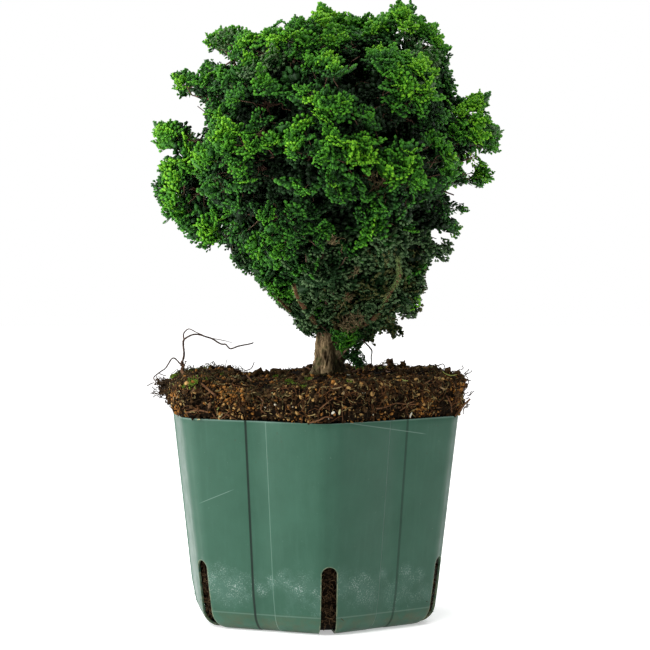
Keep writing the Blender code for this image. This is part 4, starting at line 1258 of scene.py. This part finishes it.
def stems_on(carrier, masses):
    """The stems that fork from the tip of a limb, one into each of its masses."""
    tip = carrier.points[-1]
    ahead = unit(tip - carrier.points[-2])
    sides = [np.zeros(3)]
    if len(masses) > 1:
        apart = masses[0].centre - masses[1].centre
        side = unit(apart - ahead * (apart @ ahead))
        sides = [side, -side]
    stems = []
    for mass, side in zip(masses, sides):
        start = tip + ahead * GAP + side * STEM_SPREAD
        stems.append(Limb([start, start + ahead * 3 * MM, mass.centre], [STEM_RADIUS] * 3))
    return stems


def showing_boughs():
    """The boughs that the photograph shows in front, laid along their pixels."""
    return [
        Limb(
            along_pixels(path, np.linspace(start, end, len(path)) * MM),
            np.linspace(first, last, len(path)) * MM,
        )
        for path, start, end, first, last in SHOWING_BOUGHS
    ]


def make_wood(trunk, boughs):
    """The trunk with its flare and fissured bark, and the boughs, which run on into the first twigs."""
    slim = [radius - 0.5 * MM for radius in trunk.radii]
    shifted = [point + np.array((0.6 * MM, 0.0, 0.0)) for point in trunk.points]
    verts, faces = relief_tube(shifted, slim, 96, 240, 0.15, 3.0, 4.6, 0.9)
    for vert in verts:
        rise = vert[2] - SOIL_TOP
        out = np.array((vert[0] - TRUNK_X, vert[1], 0.0))
        if rise < FLARE_HEIGHT and np.linalg.norm(out) > MM:
            ridge = 0.7 + 0.3 * math.cos(FLARE_RIDGES * math.atan2(out[1], out[0]) + 1.0)
            vert += unit(out) * 0.75 * FLARE_DEPTH * ridge * (1 - rise / FLARE_HEIGHT) ** 2
    limbs = [(verts, faces)]
    for index, limb in enumerate(boughs):
        limbs.append(relief_tube(limb.points, limb.radii, 18, 44, 0.14, 10.0 + index))
    for index, limb in enumerate(showing_boughs()):
        radii = [radius * (1 + 0.22 * math.sin(2.4 * k + index)) for k, radius in enumerate(limb.radii)]
        limbs.append(relief_tube(limb.points, radii, 16, 90, 0.42, 30.0 + index, stretch=0.9))
    nodes = [name for name in NODES if name == "trunk" or name.startswith("bough_")]
    piece("bark_relief", stack(limbs), bark(), replaced=nodes)


def dress_boughs(rng):
    """Moss on the boughs that show, and the dead twigs between them."""
    starts, ends = [], []
    # For each bough the first step of its path that has moss, and how many blades
    beds = [(10, 90), (26, 700)] + [(10, 30)] * (len(SHOWING_BOUGHS) - 2)
    for limb, (first, count) in zip(showing_boughs(), beds):
        path, sizes = smooth_path(limb.points, limb.radii, 60)
        ways = unit(np.gradient(path, axis=0))
        at = rng.integers(first, 60, count)
        out = across(ways[at], rng.normal(0, 1, (count, 3)) + (-0.5, -0.6, 0.8))
        root = path[at] + out * sizes[at][:, None] * 0.9 + ways[at] * rng.normal(0, 0.8 * MM, (count, 1))
        starts.append(root)
        lean = unit(out + rng.normal(0, 0.7, (count, 3)))
        ends.append(root + lean * (rng.uniform(0.4, 1.3, (count, 1)) * MM))
    blades = rods(np.concatenate(starts), np.concatenate(ends), 0.3 * MM, 0.16 * MM)
    finish = earthy("bough_moss", (0.07, 0.12, 0.035), (0.3, 0.4, 0.15), 500, 0.1 * MM)
    piece("bough_moss", blades, finish)
    twigs = []
    for x, y, depth, spread, count in DEAD_TWIGS:
        start = at_pixel(x, y, depth * MM) + rng.normal(0, spread / 2, (count, 3)) * MM
        heading = unit(rng.normal(0, 1, (count, 3)) * (1.0, 0.5, 0.8))
        twigs += wander(rng, start, heading, 3, (0.6, 2.0), 0.5, 0.27, 0.21, thinning=0.06)
    finish = earthy("dead_twig", (0.06, 0.04, 0.018), (0.3, 0.23, 0.12), 500, 0.1 * MM)
    piece("dead_twigs", stack(twigs), finish)


# The room that the foliage has

def within_outline(points):
    """Which points the crown's outline holds, as the photograph's camera sees them."""
    x, y = pixel_of(points).T
    inside = np.zeros(len(points), dtype=bool)
    for loop in (OUTLINE, *GAPS):
        for (ax, ay), (bx, by) in zip(loop, loop[1:] + loop[:1]):
            crosses = (ay > y) != (by > y)
            inside ^= crosses & (x < ax + (bx - ax) * (y - ay) / ((by - ay) or 1.0))
    return inside


def near_spots(points, spots):
    """How near each point is to one of the spots of a table, from 0 to 1, on the front of the crown."""
    seen = pixel_of(points)
    near = np.zeros(len(points))
    for x, y, wide in spots:
        near = np.maximum(near, np.exp(-((seen[:, 0] - x) ** 2 + (seen[:, 1] - y) ** 2) / wide ** 2))
    return near * (points[:, 1] < 0)


def hollowed(points):
    """How far each point lies in one of the dark hollows of the front, from 0 to 1."""
    return near_spots(points, HOLLOWS) * np.clip(-points[:, 1] / (24 * MM), 0, 1)


def crevices(points):
    """How far each point lies in a gap between the bulges of the crown, from 0 to 1."""
    return np.clip((-0.1 - noise_field(points, 46, 21.0)) / 0.24, 0, 1)


def before_boughs(points):
    """Which points stand in front of a bough or a knot of dead twigs that shows."""
    seen = pixel_of(points)
    covers = np.zeros(len(points), dtype=bool)
    for limb in showing_boughs():
        path = np.array(limb.points)
        spots = pixel_of(path)
        for a, b, ya, yb in zip(spots, spots[1:], path[:, 1], path[1:, 1]):
            share = np.clip(((seen - a) @ (b - a)) / ((b - a) @ (b - a)), 0, 1)
            off = np.linalg.norm(seen - a - share[:, None] * (b - a), axis=1)
            covers |= (off < limb.radii[-1] / PIXEL + 2.0) & (points[:, 1] < ya + share * (yb - ya) + 1.5 * MM)
    for x, y, depth, spread, _ in DEAD_TWIGS:
        covers |= (np.hypot(*(seen - (x, y)).T) < spread * 1.1) & (points[:, 1] < (depth + 3) * MM)
    return covers


class Space:
    """The room that one mass keeps to: a flattened ball round its heart."""

    def __init__(self, mass):
        self.centre = mass.centre
        self.radii = np.array((1.0, 1.0, FLATTENING)) * mass.radius

    def reach(self, ways):
        return 1 / np.linalg.norm(ways / self.radii, axis=-1)

    def fullness(self, points):
        """0 at the heart and 1 on the skin."""
        return np.linalg.norm((points - self.centre) / self.radii, axis=-1)


def nearest_mass(spaces, points):
    """For each point the depth below the crown's skin, in metres, and how full of it the fullest mass is."""
    fullness = np.stack([space.fullness(points) for space in spaces], axis=1)
    sizes = np.array([space.radii[0] for space in spaces])
    return ((1 - fullness) * sizes).max(axis=1), fullness.min(axis=1)


# The shapes of the sprays

LOBE = np.array(((0, 0, 0), (1, 0, 0), (0.74, 0.5, 0), (0.74, -0.5, 0), (0.66, 0, 0.6)))
LOBE_FACES = np.array(((0, 3, 4), (3, 1, 4), (1, 2, 4), (2, 0, 4), (0, 2, 1), (0, 1, 3)))


def lobe(start, angle, length, width, lift, tilt, thick):
    """One plump lobe of scale leaves, from a start in the spray's plane at an angle, rising by a lift."""
    way = np.array((math.cos(angle) * math.cos(lift), math.sin(angle) * math.cos(lift), math.sin(lift)))
    level = unit(np.cross(UP, way))
    side = level * math.cos(tilt) + np.cross(way, level) * math.sin(tilt)
    face = np.cross(way, side)
    return start + LOBE[:, :1] * way * length + LOBE[:, 1:2] * side * width + LOBE[:, 2:] * face * thick


def fan(rng, rings):
    """A fan of unit length: scallops of plump lobes in rings, each ring lying over the one outside it."""
    tips = []
    inner = [lobe(np.array((-0.05, 0.0, -0.05)), 0.0, 0.66, 0.6, 0.04, 0.0, 0.05)]
    for order, (count, spread, start, length, wide) in enumerate(rings):
        for index in range(count):
            angle = spread * (2 * (index + 0.5) / count - 1) + rng.uniform(-0.1, 0.1)
            shrink = 1 - 0.15 * abs(angle) + rng.uniform(-0.1, 0.1)
            foot = start * shrink + (0.04 if index % 2 else -0.05)
            rise = 0.08 * foot * foot + 0.07 * order + rng.uniform(-0.03, 0.04)
            spot = np.array((math.cos(angle) * foot, math.sin(angle) * foot, rise))
            width = wide * rng.uniform(0.85, 1.15)
            (inner if order else tips).append(lobe(
                spot, angle * 0.9, length * shrink, width,
                rng.uniform(0.0, 0.42), rng.uniform(-0.32, 0.32), width * 0.8,
            ))
    return tips, inner


def plume(rng, pairs):
    """A plume of unit length: an arching stem with side shoots, each ending in two or three lobes."""
    bend = rng.uniform(-0.25, 0.25)

    def spine(x):
        return np.array((x, bend * x * x, 0.16 * x - 0.22 * x * x))

    tips = []
    inner = [lobe(spine(0.0) - (0, 0, 0.04), bend * 0.6, 0.95, 0.42, 0.0, 0.0, 0.05)]
    shoots = [(0.76, 0.0, 0.3)]
    for index in range(pairs):
        x = 0.14 + 0.56 * index / max(1, pairs - 1)
        for side in (-1, 1):
            shoots.append((x + 0.05 * side, side * rng.uniform(0.75, 1.05), 0.4 * (1.05 - 0.55 * x)))
    for x, angle, length in shoots:
        spot = spine(x)
        a = angle + 2 * bend * x
        lift = rng.uniform(-0.15, 0.3)
        reach = length * rng.uniform(0.8, 1.15)
        inner.append(lobe(spot, a, reach * 0.85, 0.17, lift, rng.uniform(-0.3, 0.3), 0.12))
        way = np.array((math.cos(a), math.sin(a), math.sin(lift)))
        for turn, share in ((-0.42, 0.45), (0.42, 0.5)):
            tips.append(lobe(
                spot + way * reach * share, a + turn, reach * 0.66, rng.uniform(0.15, 0.19),
                lift + rng.uniform(-0.1, 0.3), rng.uniform(-0.6, 0.6), 0.15,
            ))
    return tips, inner


def spray_kinds():
    """The shapes of sprays, each as outer and inner lobes: fans, plumes, then plain ones for the inside."""
    rng = np.random.default_rng(77)
    kinds = [fan(rng, FAN_RINGS) for _ in range(FAN_KINDS)]
    kinds += [plume(rng, 3) for _ in range(PLUME_KINDS)]
    kinds += [fan(rng, FILLER_RINGS) for _ in range(FILLER_KINDS)]
    return [[stack([(made, LOBE_FACES) for made in lobes]) for lobes in kind] for kind in kinds]


# How the crown grows

def spread_ways(count, rng):
    """Directions spread evenly over a ball by the golden angle, turned and shaken by the seed."""
    turn = rng.uniform(0, math.tau)
    i = np.arange(count)
    z = 1 - 2 * (i + 0.5) / count
    ring = np.sqrt(1 - z * z)
    a = turn + i * GOLDEN
    ways = np.stack((ring * np.cos(a), ring * np.sin(a), z), axis=1)
    return unit(ways + rng.uniform(-0.15, 0.15, (count, 3)))


def plan_tufts(spaces):
    """Where the tufts of sprays sit: the tips of every mass's twigs, thinned until each tuft has its room."""
    tips, ways, home = [], [], []
    for index, space in enumerate(spaces):
        rng = np.random.default_rng(100 + index)
        count = max(LEAST_TWIGS * 4, round(FULL_TWIGS * 5 * (space.radii[0] / FULL_RADIUS) ** 2))
        way = spread_ways(count, rng)
        for layer, share in enumerate(LAYERS):
            some = way[layer::max(1, layer)]
            reach = space.reach(some) * share * rng.uniform(0.95, 1.0, len(some))
            tips.append(space.centre + some * reach[:, None])
            ways.append(some)
            home.append(np.full(len(some), index))
    tips, ways, home = np.concatenate(tips), np.concatenate(ways), np.concatenate(home)
    depth, _ = nearest_mass(spaces, tips)
    rng = np.random.default_rng(8)
    relief = 3.6 * MM * noise_field(tips, 34) + 2.2 * MM * noise_field(tips, 75, 4.0)
    growing, hollow = near_spots(tips, NEW_GROWTH), hollowed(tips)
    relief = relief * (1 - growing) - 3 * MM * growing
    wanted = depth + relief + rng.uniform(0, 1.2 * MM, len(tips))
    usable = (depth < DEEPEST) & (depth > 0.7 * MM + 3 * np.maximum(relief, 0))
    usable &= tips[:, 2] > SOIL_TOP + 12 * MM
    usable &= (hollow < 0.4) | (depth > np.where(tips[:, 2] > 215 * MM, 21, 12) * MM)
    usable &= (crevices(tips) < 0.5) | (growing > 0.5) | (depth > 10 * MM)
    usable &= within_outline(tips)
    order = np.argsort(wanted)
    kept = []
    room = TUFT_ROOM * (1 + 0.38 * np.clip(depth / (16 * MM), 0, 1))
    placed = np.zeros((0, 3))
    for i in order[usable[order]]:
        if not (np.linalg.norm(placed - tips[i], axis=1) < room[i]).any():
            kept.append(i)
            placed = np.vstack((placed, tips[i]))
    kept = np.array(kept)
    return tips[kept], ways[kept], home[kept], depth[kept]


def nearest_on(limbs, point):
    """The nearest place on any of the limbs, with the distance to it."""
    best, best_far = None, 1.0
    for limb in limbs:
        for a, b in zip(limb.points, limb.points[1:]):
            run = b - a
            near = a + run * np.clip((point - a) @ run / (run @ run), 0.0, 1.0)
            far = np.linalg.norm(point - near)
            if far < best_far:
                best, best_far = near, far
    return best, best_far


class Growth:
    """The twigs and sprays of the crown, as they grow."""

    def __init__(self):
        self.wood, self.fans = [], []

    def twig(self, points, radii):
        """A crooked twig through some points, with its radius at each."""
        self.wood += zip(points, points[1:], radii, radii[1:])

    def tuft(self, base, heading, home, rng, outer=True, size=1.0, fresh=None):
        """The end of a twig, and the plumes and fans that stand round it, fewest on its underside."""
        self.twig((base, base + heading * TUFT_SIZE * 0.45), (0.24 * MM, 0.14 * MM))
        side = across(heading[None], rng.normal(0, 1, (1, 3)))[0]
        other = np.cross(heading, side)
        count = FANS_OUTER if outer else FANS_INNER
        tuft_size = size * rng.uniform(0.8, 1.15)
        new_growth = rng.random()
        if fresh is not None:
            new_growth = fresh
        for k in range(count):
            spread = 0.2 + 1.25 * (k / (count - 1)) ** 0.75
            a = k * GOLDEN + rng.uniform(-0.35, 0.35)
            out = math.cos(a) * side + math.sin(a) * other
            aim = unit(heading * math.cos(spread) + out * math.sin(spread) + UP * 0.15)
            if aim[2] < -0.35 and rng.random() < 0.5:
                continue
            root = base + heading * TUFT_SIZE * (0.5 - 0.5 * k / count) + out * 0.3 * MM
            face = across(aim[None], (heading * 0.7 + UP * 0.7 + rng.normal(0, 0.3, 3))[None])[0]
            form = (PLUME if k % 3 == 0 or rng.random() < 0.15 else FAN) if outer else FILLER
            length = FAN_LENGTH * tuft_size * rng.uniform(0.8, 1.1) * FORM_LENGTH[form]
            self.fans.append((root, aim, face, length, home, new_growth, form))


def clothe_skirt(growth, limbs, rng):
    """The dull old foliage on the boughs and low stems, from the fork of the trunk up to the crown."""
    heights, *columns = zip(*SKIRT)
    for row, height in enumerate(np.arange(heights[0], heights[-1] + 1, 6.0)):
        middle, half, deep = (np.interp(height, heights, column) for column in columns)
        around = max(5, round(math.pi * (half + deep) / 8.0))
        for k in range(around):
            a = (k + 0.5 * (row % 2)) * math.tau / around + rng.uniform(-0.1, 0.1)
            out = np.array((math.cos(a), math.sin(a), 0.0))
            share = rng.uniform(0.58, 0.97)
            rise = height + rng.uniform(-2, 2)
            tip = np.array((middle + half * share * out[0], deep * share * out[1], rise)) * MM
            heading = unit(out + UP * rng.uniform(-0.4, 0.6) + rng.normal(0, 0.25, 3))
            base = tip - heading * TUFT_SIZE * 0.8
            carrier, far = nearest_on(limbs, base)
            if far > LONGEST_TWIG or rng.random() < 0.13:
                continue
            growth.twig((carrier, (carrier + base) / 2 + UP * 0.12 * far, base), (0.4 * MM, *TWIG[1:]))
            growth.tuft(base, heading, SKIRT_HOME, rng, size=rng.uniform(0.85, 1.25))
            for _ in range(3):
                way = unit(heading + rng.normal(0, 0.6, 3))
                growth.twig((base, base + way * TUFT_SIZE * rng.uniform(0.5, 1.0)), (0.22 * MM, 0.12 * MM))


def clothe_limbs(growth, limbs):
    """The skirt, the heart of the crown, the low sprigs and the tufts that reach past the edge."""
    rng = np.random.default_rng(33)
    clothe_skirt(growth, limbs, rng)
    for way in spread_ways(INNER_TUFTS, rng):
        tip = CROWN_MIDDLE + way * (1, 1, 0.8 if way[2] < 0 else 1) * (INNER_ROOM * rng.uniform(0.6, 1.0))
        heading = unit(way + rng.normal(0, 0.3, 3))
        base = tip - heading * TUFT_SIZE * 0.8
        growth.twig((nearest_on(limbs, base)[0], base), (0.45 * MM, 0.28 * MM))
        growth.tuft(base, heading, INNER_HOME, rng, outer=False, size=1.2)
    for x, y, depth, fresh in SPRIGS:
        heading = unit(np.array((rng.uniform(-0.2, 0.9), -0.8, rng.uniform(-0.5, 0.3))))
        base = at_pixel(x, y, depth * MM) - heading * TUFT_SIZE * 0.5
        growth.twig((nearest_on(limbs, base)[0], base), (0.45 * MM, 0.3 * MM))
        growth.tuft(base, heading, SPRIG_HOME, rng, size=0.5, fresh=fresh)
    for x, y in REACHING:
        tip = at_pixel(x, y, rng.uniform(-8, 8) * MM)
        heading = unit((tip - CROWN_MIDDLE) * (1.0, 0.3, 1.0))
        base = tip - heading * TUFT_SIZE * 0.9
        growth.twig((base - heading * TUFT_SIZE * 1.4 - UP * 1.5 * MM, base), (0.4 * MM, 0.28 * MM))
        growth.tuft(base, heading, SKIRT_HOME, rng, size=0.95)


def fill_masses(growth, spaces, stems):
    """The stem of each mass, and the twigs that fork from its heart to its tufts."""
    tips, ways, home, depth = plan_tufts(spaces)
    rng = np.random.default_rng(21)
    for index, (space, stem) in enumerate(zip(spaces, stems)):
        growth.twig(stem.points, stem.radii)
        count = max(6, round(13 * (space.radii[0] / FULL_RADIUS) ** 2))
        mains = spread_ways(count, np.random.default_rng(300 + index))
        used = set()
        for i in np.nonzero(home == index)[0]:
            tip = tips[i]
            main = int(np.argmax(mains @ ways[i]))
            far = np.linalg.norm(tip - space.centre)
            joint = space.centre + mains[main] * far * 0.42
            if main not in used:
                used.add(main)
                growth.twig((space.centre, joint), (0.65 * MM, 0.45 * MM))
            base = space.centre + (tip - space.centre) * max(0.3, 1 - TUFT_SIZE / far)
            bend = (joint + base) / 2 + rng.normal(0, 0.8 * MM, 3) - UP * 0.6 * MM
            growth.twig((joint, bend, base), TWIG)
            growth.tuft(base, unit(tip - base), index, rng, outer=depth[i] < OUTER_DEPTH)


def trim(sprays, spaces, rng):
    """Shortens sprays that pass the crown's skin or outline, and drops those that still do or hide a bough."""
    roots, ways, faces, size, home, new_growth, form = sprays
    wings = np.cross(faces, ways) * 0.5
    for _ in range(3):
        _, skin = nearest_mass(spaces, roots + ways * size[:, None])
        ends = [roots + way * size[:, None] for way in (ways, 0.7 * ways + wings, 0.7 * ways - wings)]
        held_in = np.all([within_outline(end) for end in ends], axis=0)
        size = np.where(((skin > 1.0) & (home >= 0)) | ~held_in, size * 0.8, size)
    tips = roots + ways * size[:, None]
    depth, skin = nearest_mass(spaces, tips)
    trunk_far = np.linalg.norm(tips[:, :2] - (TRUNK_X, 0), axis=1)
    held = ((skin <= 1.02) | (home < 0)) & (tips[:, 2] > SOIL_TOP + 4 * MM)
    held &= (trunk_far > 9 * MM) | (tips[:, 2] > 175 * MM)
    for share in (0.25, 0.5, 0.75, 1.0):
        held &= within_outline(roots + ways * size[:, None] * share)
    held &= (hollowed(tips) < 0.72) | (depth > 15 * MM) | (home == INNER_HOME)
    held &= ~(before_boughs(tips) & (rng.random(len(tips)) < 0.88)) | (home == SPRIG_HOME)
    held &= ~(before_boughs(roots) & (rng.random(len(tips)) < 0.5)) | (home == SPRIG_HOME)
    depth = np.where(home == INNER_HOME, INNER_SHADE, np.where(home < 0, SKIRT_SHADE, depth))
    return [x[held] for x in (roots, ways, faces, size, home, new_growth, form, tips, depth)]


def deal_colours(tips, facing, depth, home, new_growth, form, rng):
    """Which green each spray's outer and inner lobes take, by its light and how much new growth it has."""
    crown_out = np.linalg.norm((tips - CROWN_MIDDLE) / (np.array((92, 98, 96)) * MM), axis=1)
    front = tips[:, 1] < 0
    low = np.clip((230 * MM - tips[:, 2]) / (60 * MM), 0, 1)
    high = np.clip((tips[:, 2] - 262 * MM) / (30 * MM), 0, 1)
    growing = near_spots(tips, NEW_GROWTH) * (depth < 10 * MM)
    hollow = hollowed(tips)
    light = 0.42 * (facing @ unit(SUNNY_WAY) * 0.5 + 0.5) + 0.3 * np.clip((crown_out - 0.6) / 0.35, 0, 1)
    light += 0.5 * np.clip(1 - depth / (12 * MM), -0.6, 1) + 0.22 * low
    in_front = 0.36 * growing - 0.15 + (0.24 + 0.3 * low) * (new_growth - 0.5)
    light += np.where(front, in_front, 0.42 * (new_growth - 0.5))
    light += 0.05 * np.clip(tips[:, 0] / (60 * MM), 0, 1)
    light -= 0.35 * hollow + 0.4 * crevices(tips) * np.clip(depth / (10 * MM) - 0.3, 0, 1) + 0.12 * high
    light += 0.36 * noise_field(tips, 44, 9.0) + rng.normal(0, 0.06, len(tips))
    light = np.where(front & (low > 0.45) & (growing < 0.5), np.minimum(light, 0.95 - 0.1 * low), light)
    level = sum((light < limit).astype(int) for limit in LIGHT_LIMITS)
    level = np.where((hollow > 0.35) & (depth > 14 * MM), GLOOM, level)
    tip_green, inner_green = level.copy(), np.minimum(level + 1, GLOOM)
    coin = new_growth * 7.13 % 1  # a second chance, the same over a whole tuft
    dull = low * np.clip(tips[:, 0] / (60 * MM) + 0.5, 0, 1) + 0.35 * noise_field(tips, 30, 5.0)
    dull += 0.3 * np.clip((186 * MM - tips[:, 2]) / (18 * MM), 0, 1)
    dulled = (level > LIME) & (home > SPRIG_HOME) & (dull + 0.6 * (coin - 0.5) > 0.5)
    greyed = (level >= FRESH) & (level <= DEEP) & ~dulled & (coin < 0.04)
    for which, green in (
        (dulled & (coin < 0.28), OLIVE), (dulled & (coin >= 0.28), GREY_GREEN), (dulled & (coin > 0.84), SHADE),
        (greyed, GREY_GREEN),
    ):
        tip_green[which] = green
    inner_green[dulled] = SHADE
    inside = form == FILLER
    tip_green[inside] = np.maximum(tip_green[inside], DEEP)
    inner_green[inside] = np.maximum(inner_green[inside], SHADE)
    return tip_green, inner_green


def lay_sprays(kind, frames, roots, tip_green, inner_green):
    """The sprays as meshes, one or more pieces for each green."""
    nodes = [name for name in NODES if name.startswith("foliage_")]
    kinds = spray_kinds()
    for green, (name, colour) in enumerate(GREENS.items()):
        groups = []
        for k, shapes in enumerate(kinds):
            for shape, given in zip(shapes, (tip_green, inner_green)):
                which = (kind == k) & (given == green)
                if which.any():
                    groups.append(copies(shape, frames[which], roots[which]))
        verts, tris = stack(groups)
        finish = leaf_green("foliage_" + name, colour)
        parts = math.ceil(len(tris) / MOST_TRIANGLES)
        lobes = len(tris) // len(LOBE_FACES)
        for part in range(parts):
            a, b = part * lobes // parts, (part + 1) * lobes // parts
            points = verts[a * len(LOBE):b * len(LOBE)]
            faces = tris[a * len(LOBE_FACES):b * len(LOBE_FACES)] - a * len(LOBE)
            title = f"sprays_{name}" + (f"_{part + 1}" if parts > 1 else "")
            piece(title, (points, faces), finish, replaced=nodes)


def lay_twigs(wood):
    """The twigs as one mesh, without those that would stand past the outline."""
    starts, ends, first, last = (np.array(column) for column in zip(*wood))
    kept = within_outline((starts + ends) / 2) | (starts[:, 2] < 155 * MM)
    finish = earthy("twig_bark", (0.07, 0.036, 0.024), (0.28, 0.17, 0.12), 500, 0.2 * MM)
    nodes = [name for name in NODES if name.startswith("foliage_")]
    piece("twigs", rods(starts[kept], ends[kept], first[kept], last[kept]), finish, replaced=nodes)


def make_foliage(trunk, boughs):
    """Every mass grown in its own room, then all of the sprays dealt out by colour."""
    masses, stems = [], []
    for pads, limb in zip([*(bough.pads for bough in BOUGHS), (TIP_PAD,)], [*boughs, trunk]):
        borne = [mass_at(pad, SWELL) for pad in pads]
        masses += borne
        stems += stems_on(limb, borne)
    for low in LOW_STEMS:
        mass = mass_at(low.pads[0])
        masses.append(mass)
        foot = trunk_point(low.foot * MM)
        bend = foot + (mass.centre - foot) * (0.5, 0.5, 0.32)
        stems.append(Limb([foot, bend, mass.centre], [1.5 * MM, 1.1 * MM, 0.8 * MM]))
    spaces = [Space(mass) for mass in masses]
    growth = Growth()
    clothe_limbs(growth, [trunk, *boughs, *stems])
    fill_masses(growth, spaces, stems)
    rng = np.random.default_rng(5)
    sprays = [np.array(column) for column in zip(*growth.fans)]
    roots, ways, faces, size, home, new_growth, form, tips, depth = trim(sprays, spaces, rng)
    hearts = np.array([*(space.centre for space in spaces), CROWN_MIDDLE])[np.maximum(home, -1)]
    greens = deal_colours(tips, unit(tips - hearts), depth, home, new_growth, form, rng)
    fans = rng.integers(0, FAN_KINDS, len(roots))
    plumes = FAN_KINDS + rng.integers(0, PLUME_KINDS, len(roots))
    fillers = FAN_KINDS + PLUME_KINDS + rng.integers(0, FILLER_KINDS, len(roots))
    kind = np.where(form == FILLER, fillers, np.where(form == PLUME, plumes, fans))
    frames = np.stack((ways, np.cross(faces, ways), faces), axis=1) * size[:, None, None]
    lay_sprays(kind, frames, roots, *greens)
    lay_twigs(growth.wood)


# The dry stem

WIRY_STEMS = (  # paths in pixels, depth at the start and end in mm, radius in mm
    (((181, 366), (183.5, 358), (184, 352.5), (183.3, 345), (184.2, 339.6), (191, 335.3), (197.8, 334.4),
      (207.4, 337.2), (212, 338.7), (220.8, 343.9), (225.6, 344.4), (230.4, 348.7), (238, 346.3),
      (249.5, 343.9), (253.3, 342.8)), -6, -4, 0.56),
    (((184, 341), (183.5, 334.3), (186, 330.5), (189.7, 329), (196.4, 332.4), (203, 335)), -6, -7, 0.38),
    (((210, 338), (222.7, 340.3), (231.8, 342.5)), -6, -9, 0.26),
    (((180.5, 364), (173, 358), (165.8, 367.8), (160.5, 371.7), (153.8, 377.4), (156, 382)), -4, -14, 0.4),
    (((244, 371), (251, 368.5), (254.3, 362)), 30, 30, 0.34),
    (((225.4, 368), (226, 363), (227.3, 358.5)), 24, 26, 0.18),
    (((364.6, 342), (371.5, 350), (371.3, 357), (371.5, 366)), 2, 8, 0.42),
    (((265.5, 369), (268, 371), (271, 374)), 40, 36, 0.3),
    (((463, 382), (468, 379), (466, 375), (471, 372)), -16, -20, 0.24),
    (((437, 366), (443, 364), (445, 367.5)), 20, 20, 0.3),
    (((216, 368), (219, 365), (222, 366.5), (225, 366)), 20, 14, 0.26),
    (((233, 368), (238, 370.5), (243, 370)), 24, 20, 0.3),
)


def make_dry_stems():
    """The dead wiry stem at the left with its loop and side strands, and a few loose wires round the edge."""
    tubes = []
    for order, (path, start, end, radius) in enumerate(WIRY_STEMS):
        depths = np.linspace(start, end, len(path)) + np.sin(np.arange(len(path)) * 0.9) * 1.5
        radii = [radius * MM * (1 - 0.35 * i / (len(path) - 1)) for i in range(len(path))]
        points = along_pixels(path, depths * MM)
        tubes.append(relief_tube(points, radii, 6, 8 * len(points), 0.3, 50.0 + order, stretch=0.8))
    finish = earthy("dry_stem_bark", (0.022, 0.014, 0.01), (0.1, 0.062, 0.045), 700, 0.1 * MM)
    piece("dry_wiry_stem", tubes[0], finish, replaced=("dry_stem",))
    piece("dry_strands", stack(tubes[1:]), finish)


# The stage

def hang_lamp(name, kind, azimuth, elevation, distance, power):
    """A lamp at a distance from the plant, aimed at it."""
    lamp = bpy.data.lights.new(name, kind)
    lamp.energy = power
    obj = new_object(name, lamp)
    a, e = math.radians(azimuth), math.radians(elevation)
    place = Vector((math.cos(a) * math.cos(e), math.sin(a) * math.cos(e), math.sin(e)))
    obj.location = place * distance + Vector((0, 0, POT_HEIGHT * 1.4))
    obj.rotation_euler = (-place).to_track_quat("-Z", "Y").to_euler()
    return lamp


def make_stage():
    """A pale floor under a white sky, a soft light from each side, and the photograph's camera."""
    scene = bpy.context.scene
    scene.view_settings.view_transform = "Standard"
    bpy.ops.mesh.primitive_plane_add(size=8)
    floor = bpy.context.active_object
    floor.name = "floor"
    floor.data.name = "floor"
    made, shader = new_material("pale_floor", 0.9, 0.1)
    feed(shader["Base Color"], (0.92, 0.92, 0.92))
    feed(shader["Emission Color"], (1.0, 1.0, 1.0))
    feed(shader["Emission Strength"], FLOOR_GLOW)
    floor.data.materials.append(made)
    world = bpy.data.worlds.new("white_sky")
    scene.world = world
    world.use_nodes = True
    background = world.node_tree.nodes["Background"].inputs
    feed(background["Color"], (1.0, 1.0, 1.0))
    seen = world.node_tree.nodes.new("ShaderNodeLightPath")
    strength = world.node_tree.nodes.new("ShaderNodeMapRange")
    feed(strength.inputs["To Min"], SKY_LIGHT)
    feed(strength.inputs["Value"], seen.outputs["Is Camera Ray"])
    feed(background["Strength"], strength.outputs[0])
    for name, azimuth, elevation, width, distance, power in LAMPS:
        hang_lamp(name, "AREA", azimuth, elevation, distance, power).size = width
    azimuth, elevation, spread, power = TOP_LIGHT
    hang_lamp("top_light", "SUN", azimuth, elevation, 1.0, power).angle = math.radians(spread)
    camera = bpy.data.cameras.new("camera")
    camera.sensor_fit = "HORIZONTAL"
    camera.angle = 2 * math.atan(PICTURE / 2 / FOCAL)
    eye = new_object("camera", camera)
    eye.location = EYE
    eye.rotation_euler = (math.pi / 2 - CAMERA_PITCH, 0, 0)
    scene.camera = eye


def main():
    make_stage()
    make_pot()
    make_soil()
    trunk = trunk_limb()
    boughs = [bough_limb(bough) for bough in BOUGHS]
    make_wood(trunk, boughs)
    dress_boughs(np.random.default_rng(61))
    make_foliage(trunk, boughs)
    make_dry_stems()


main()
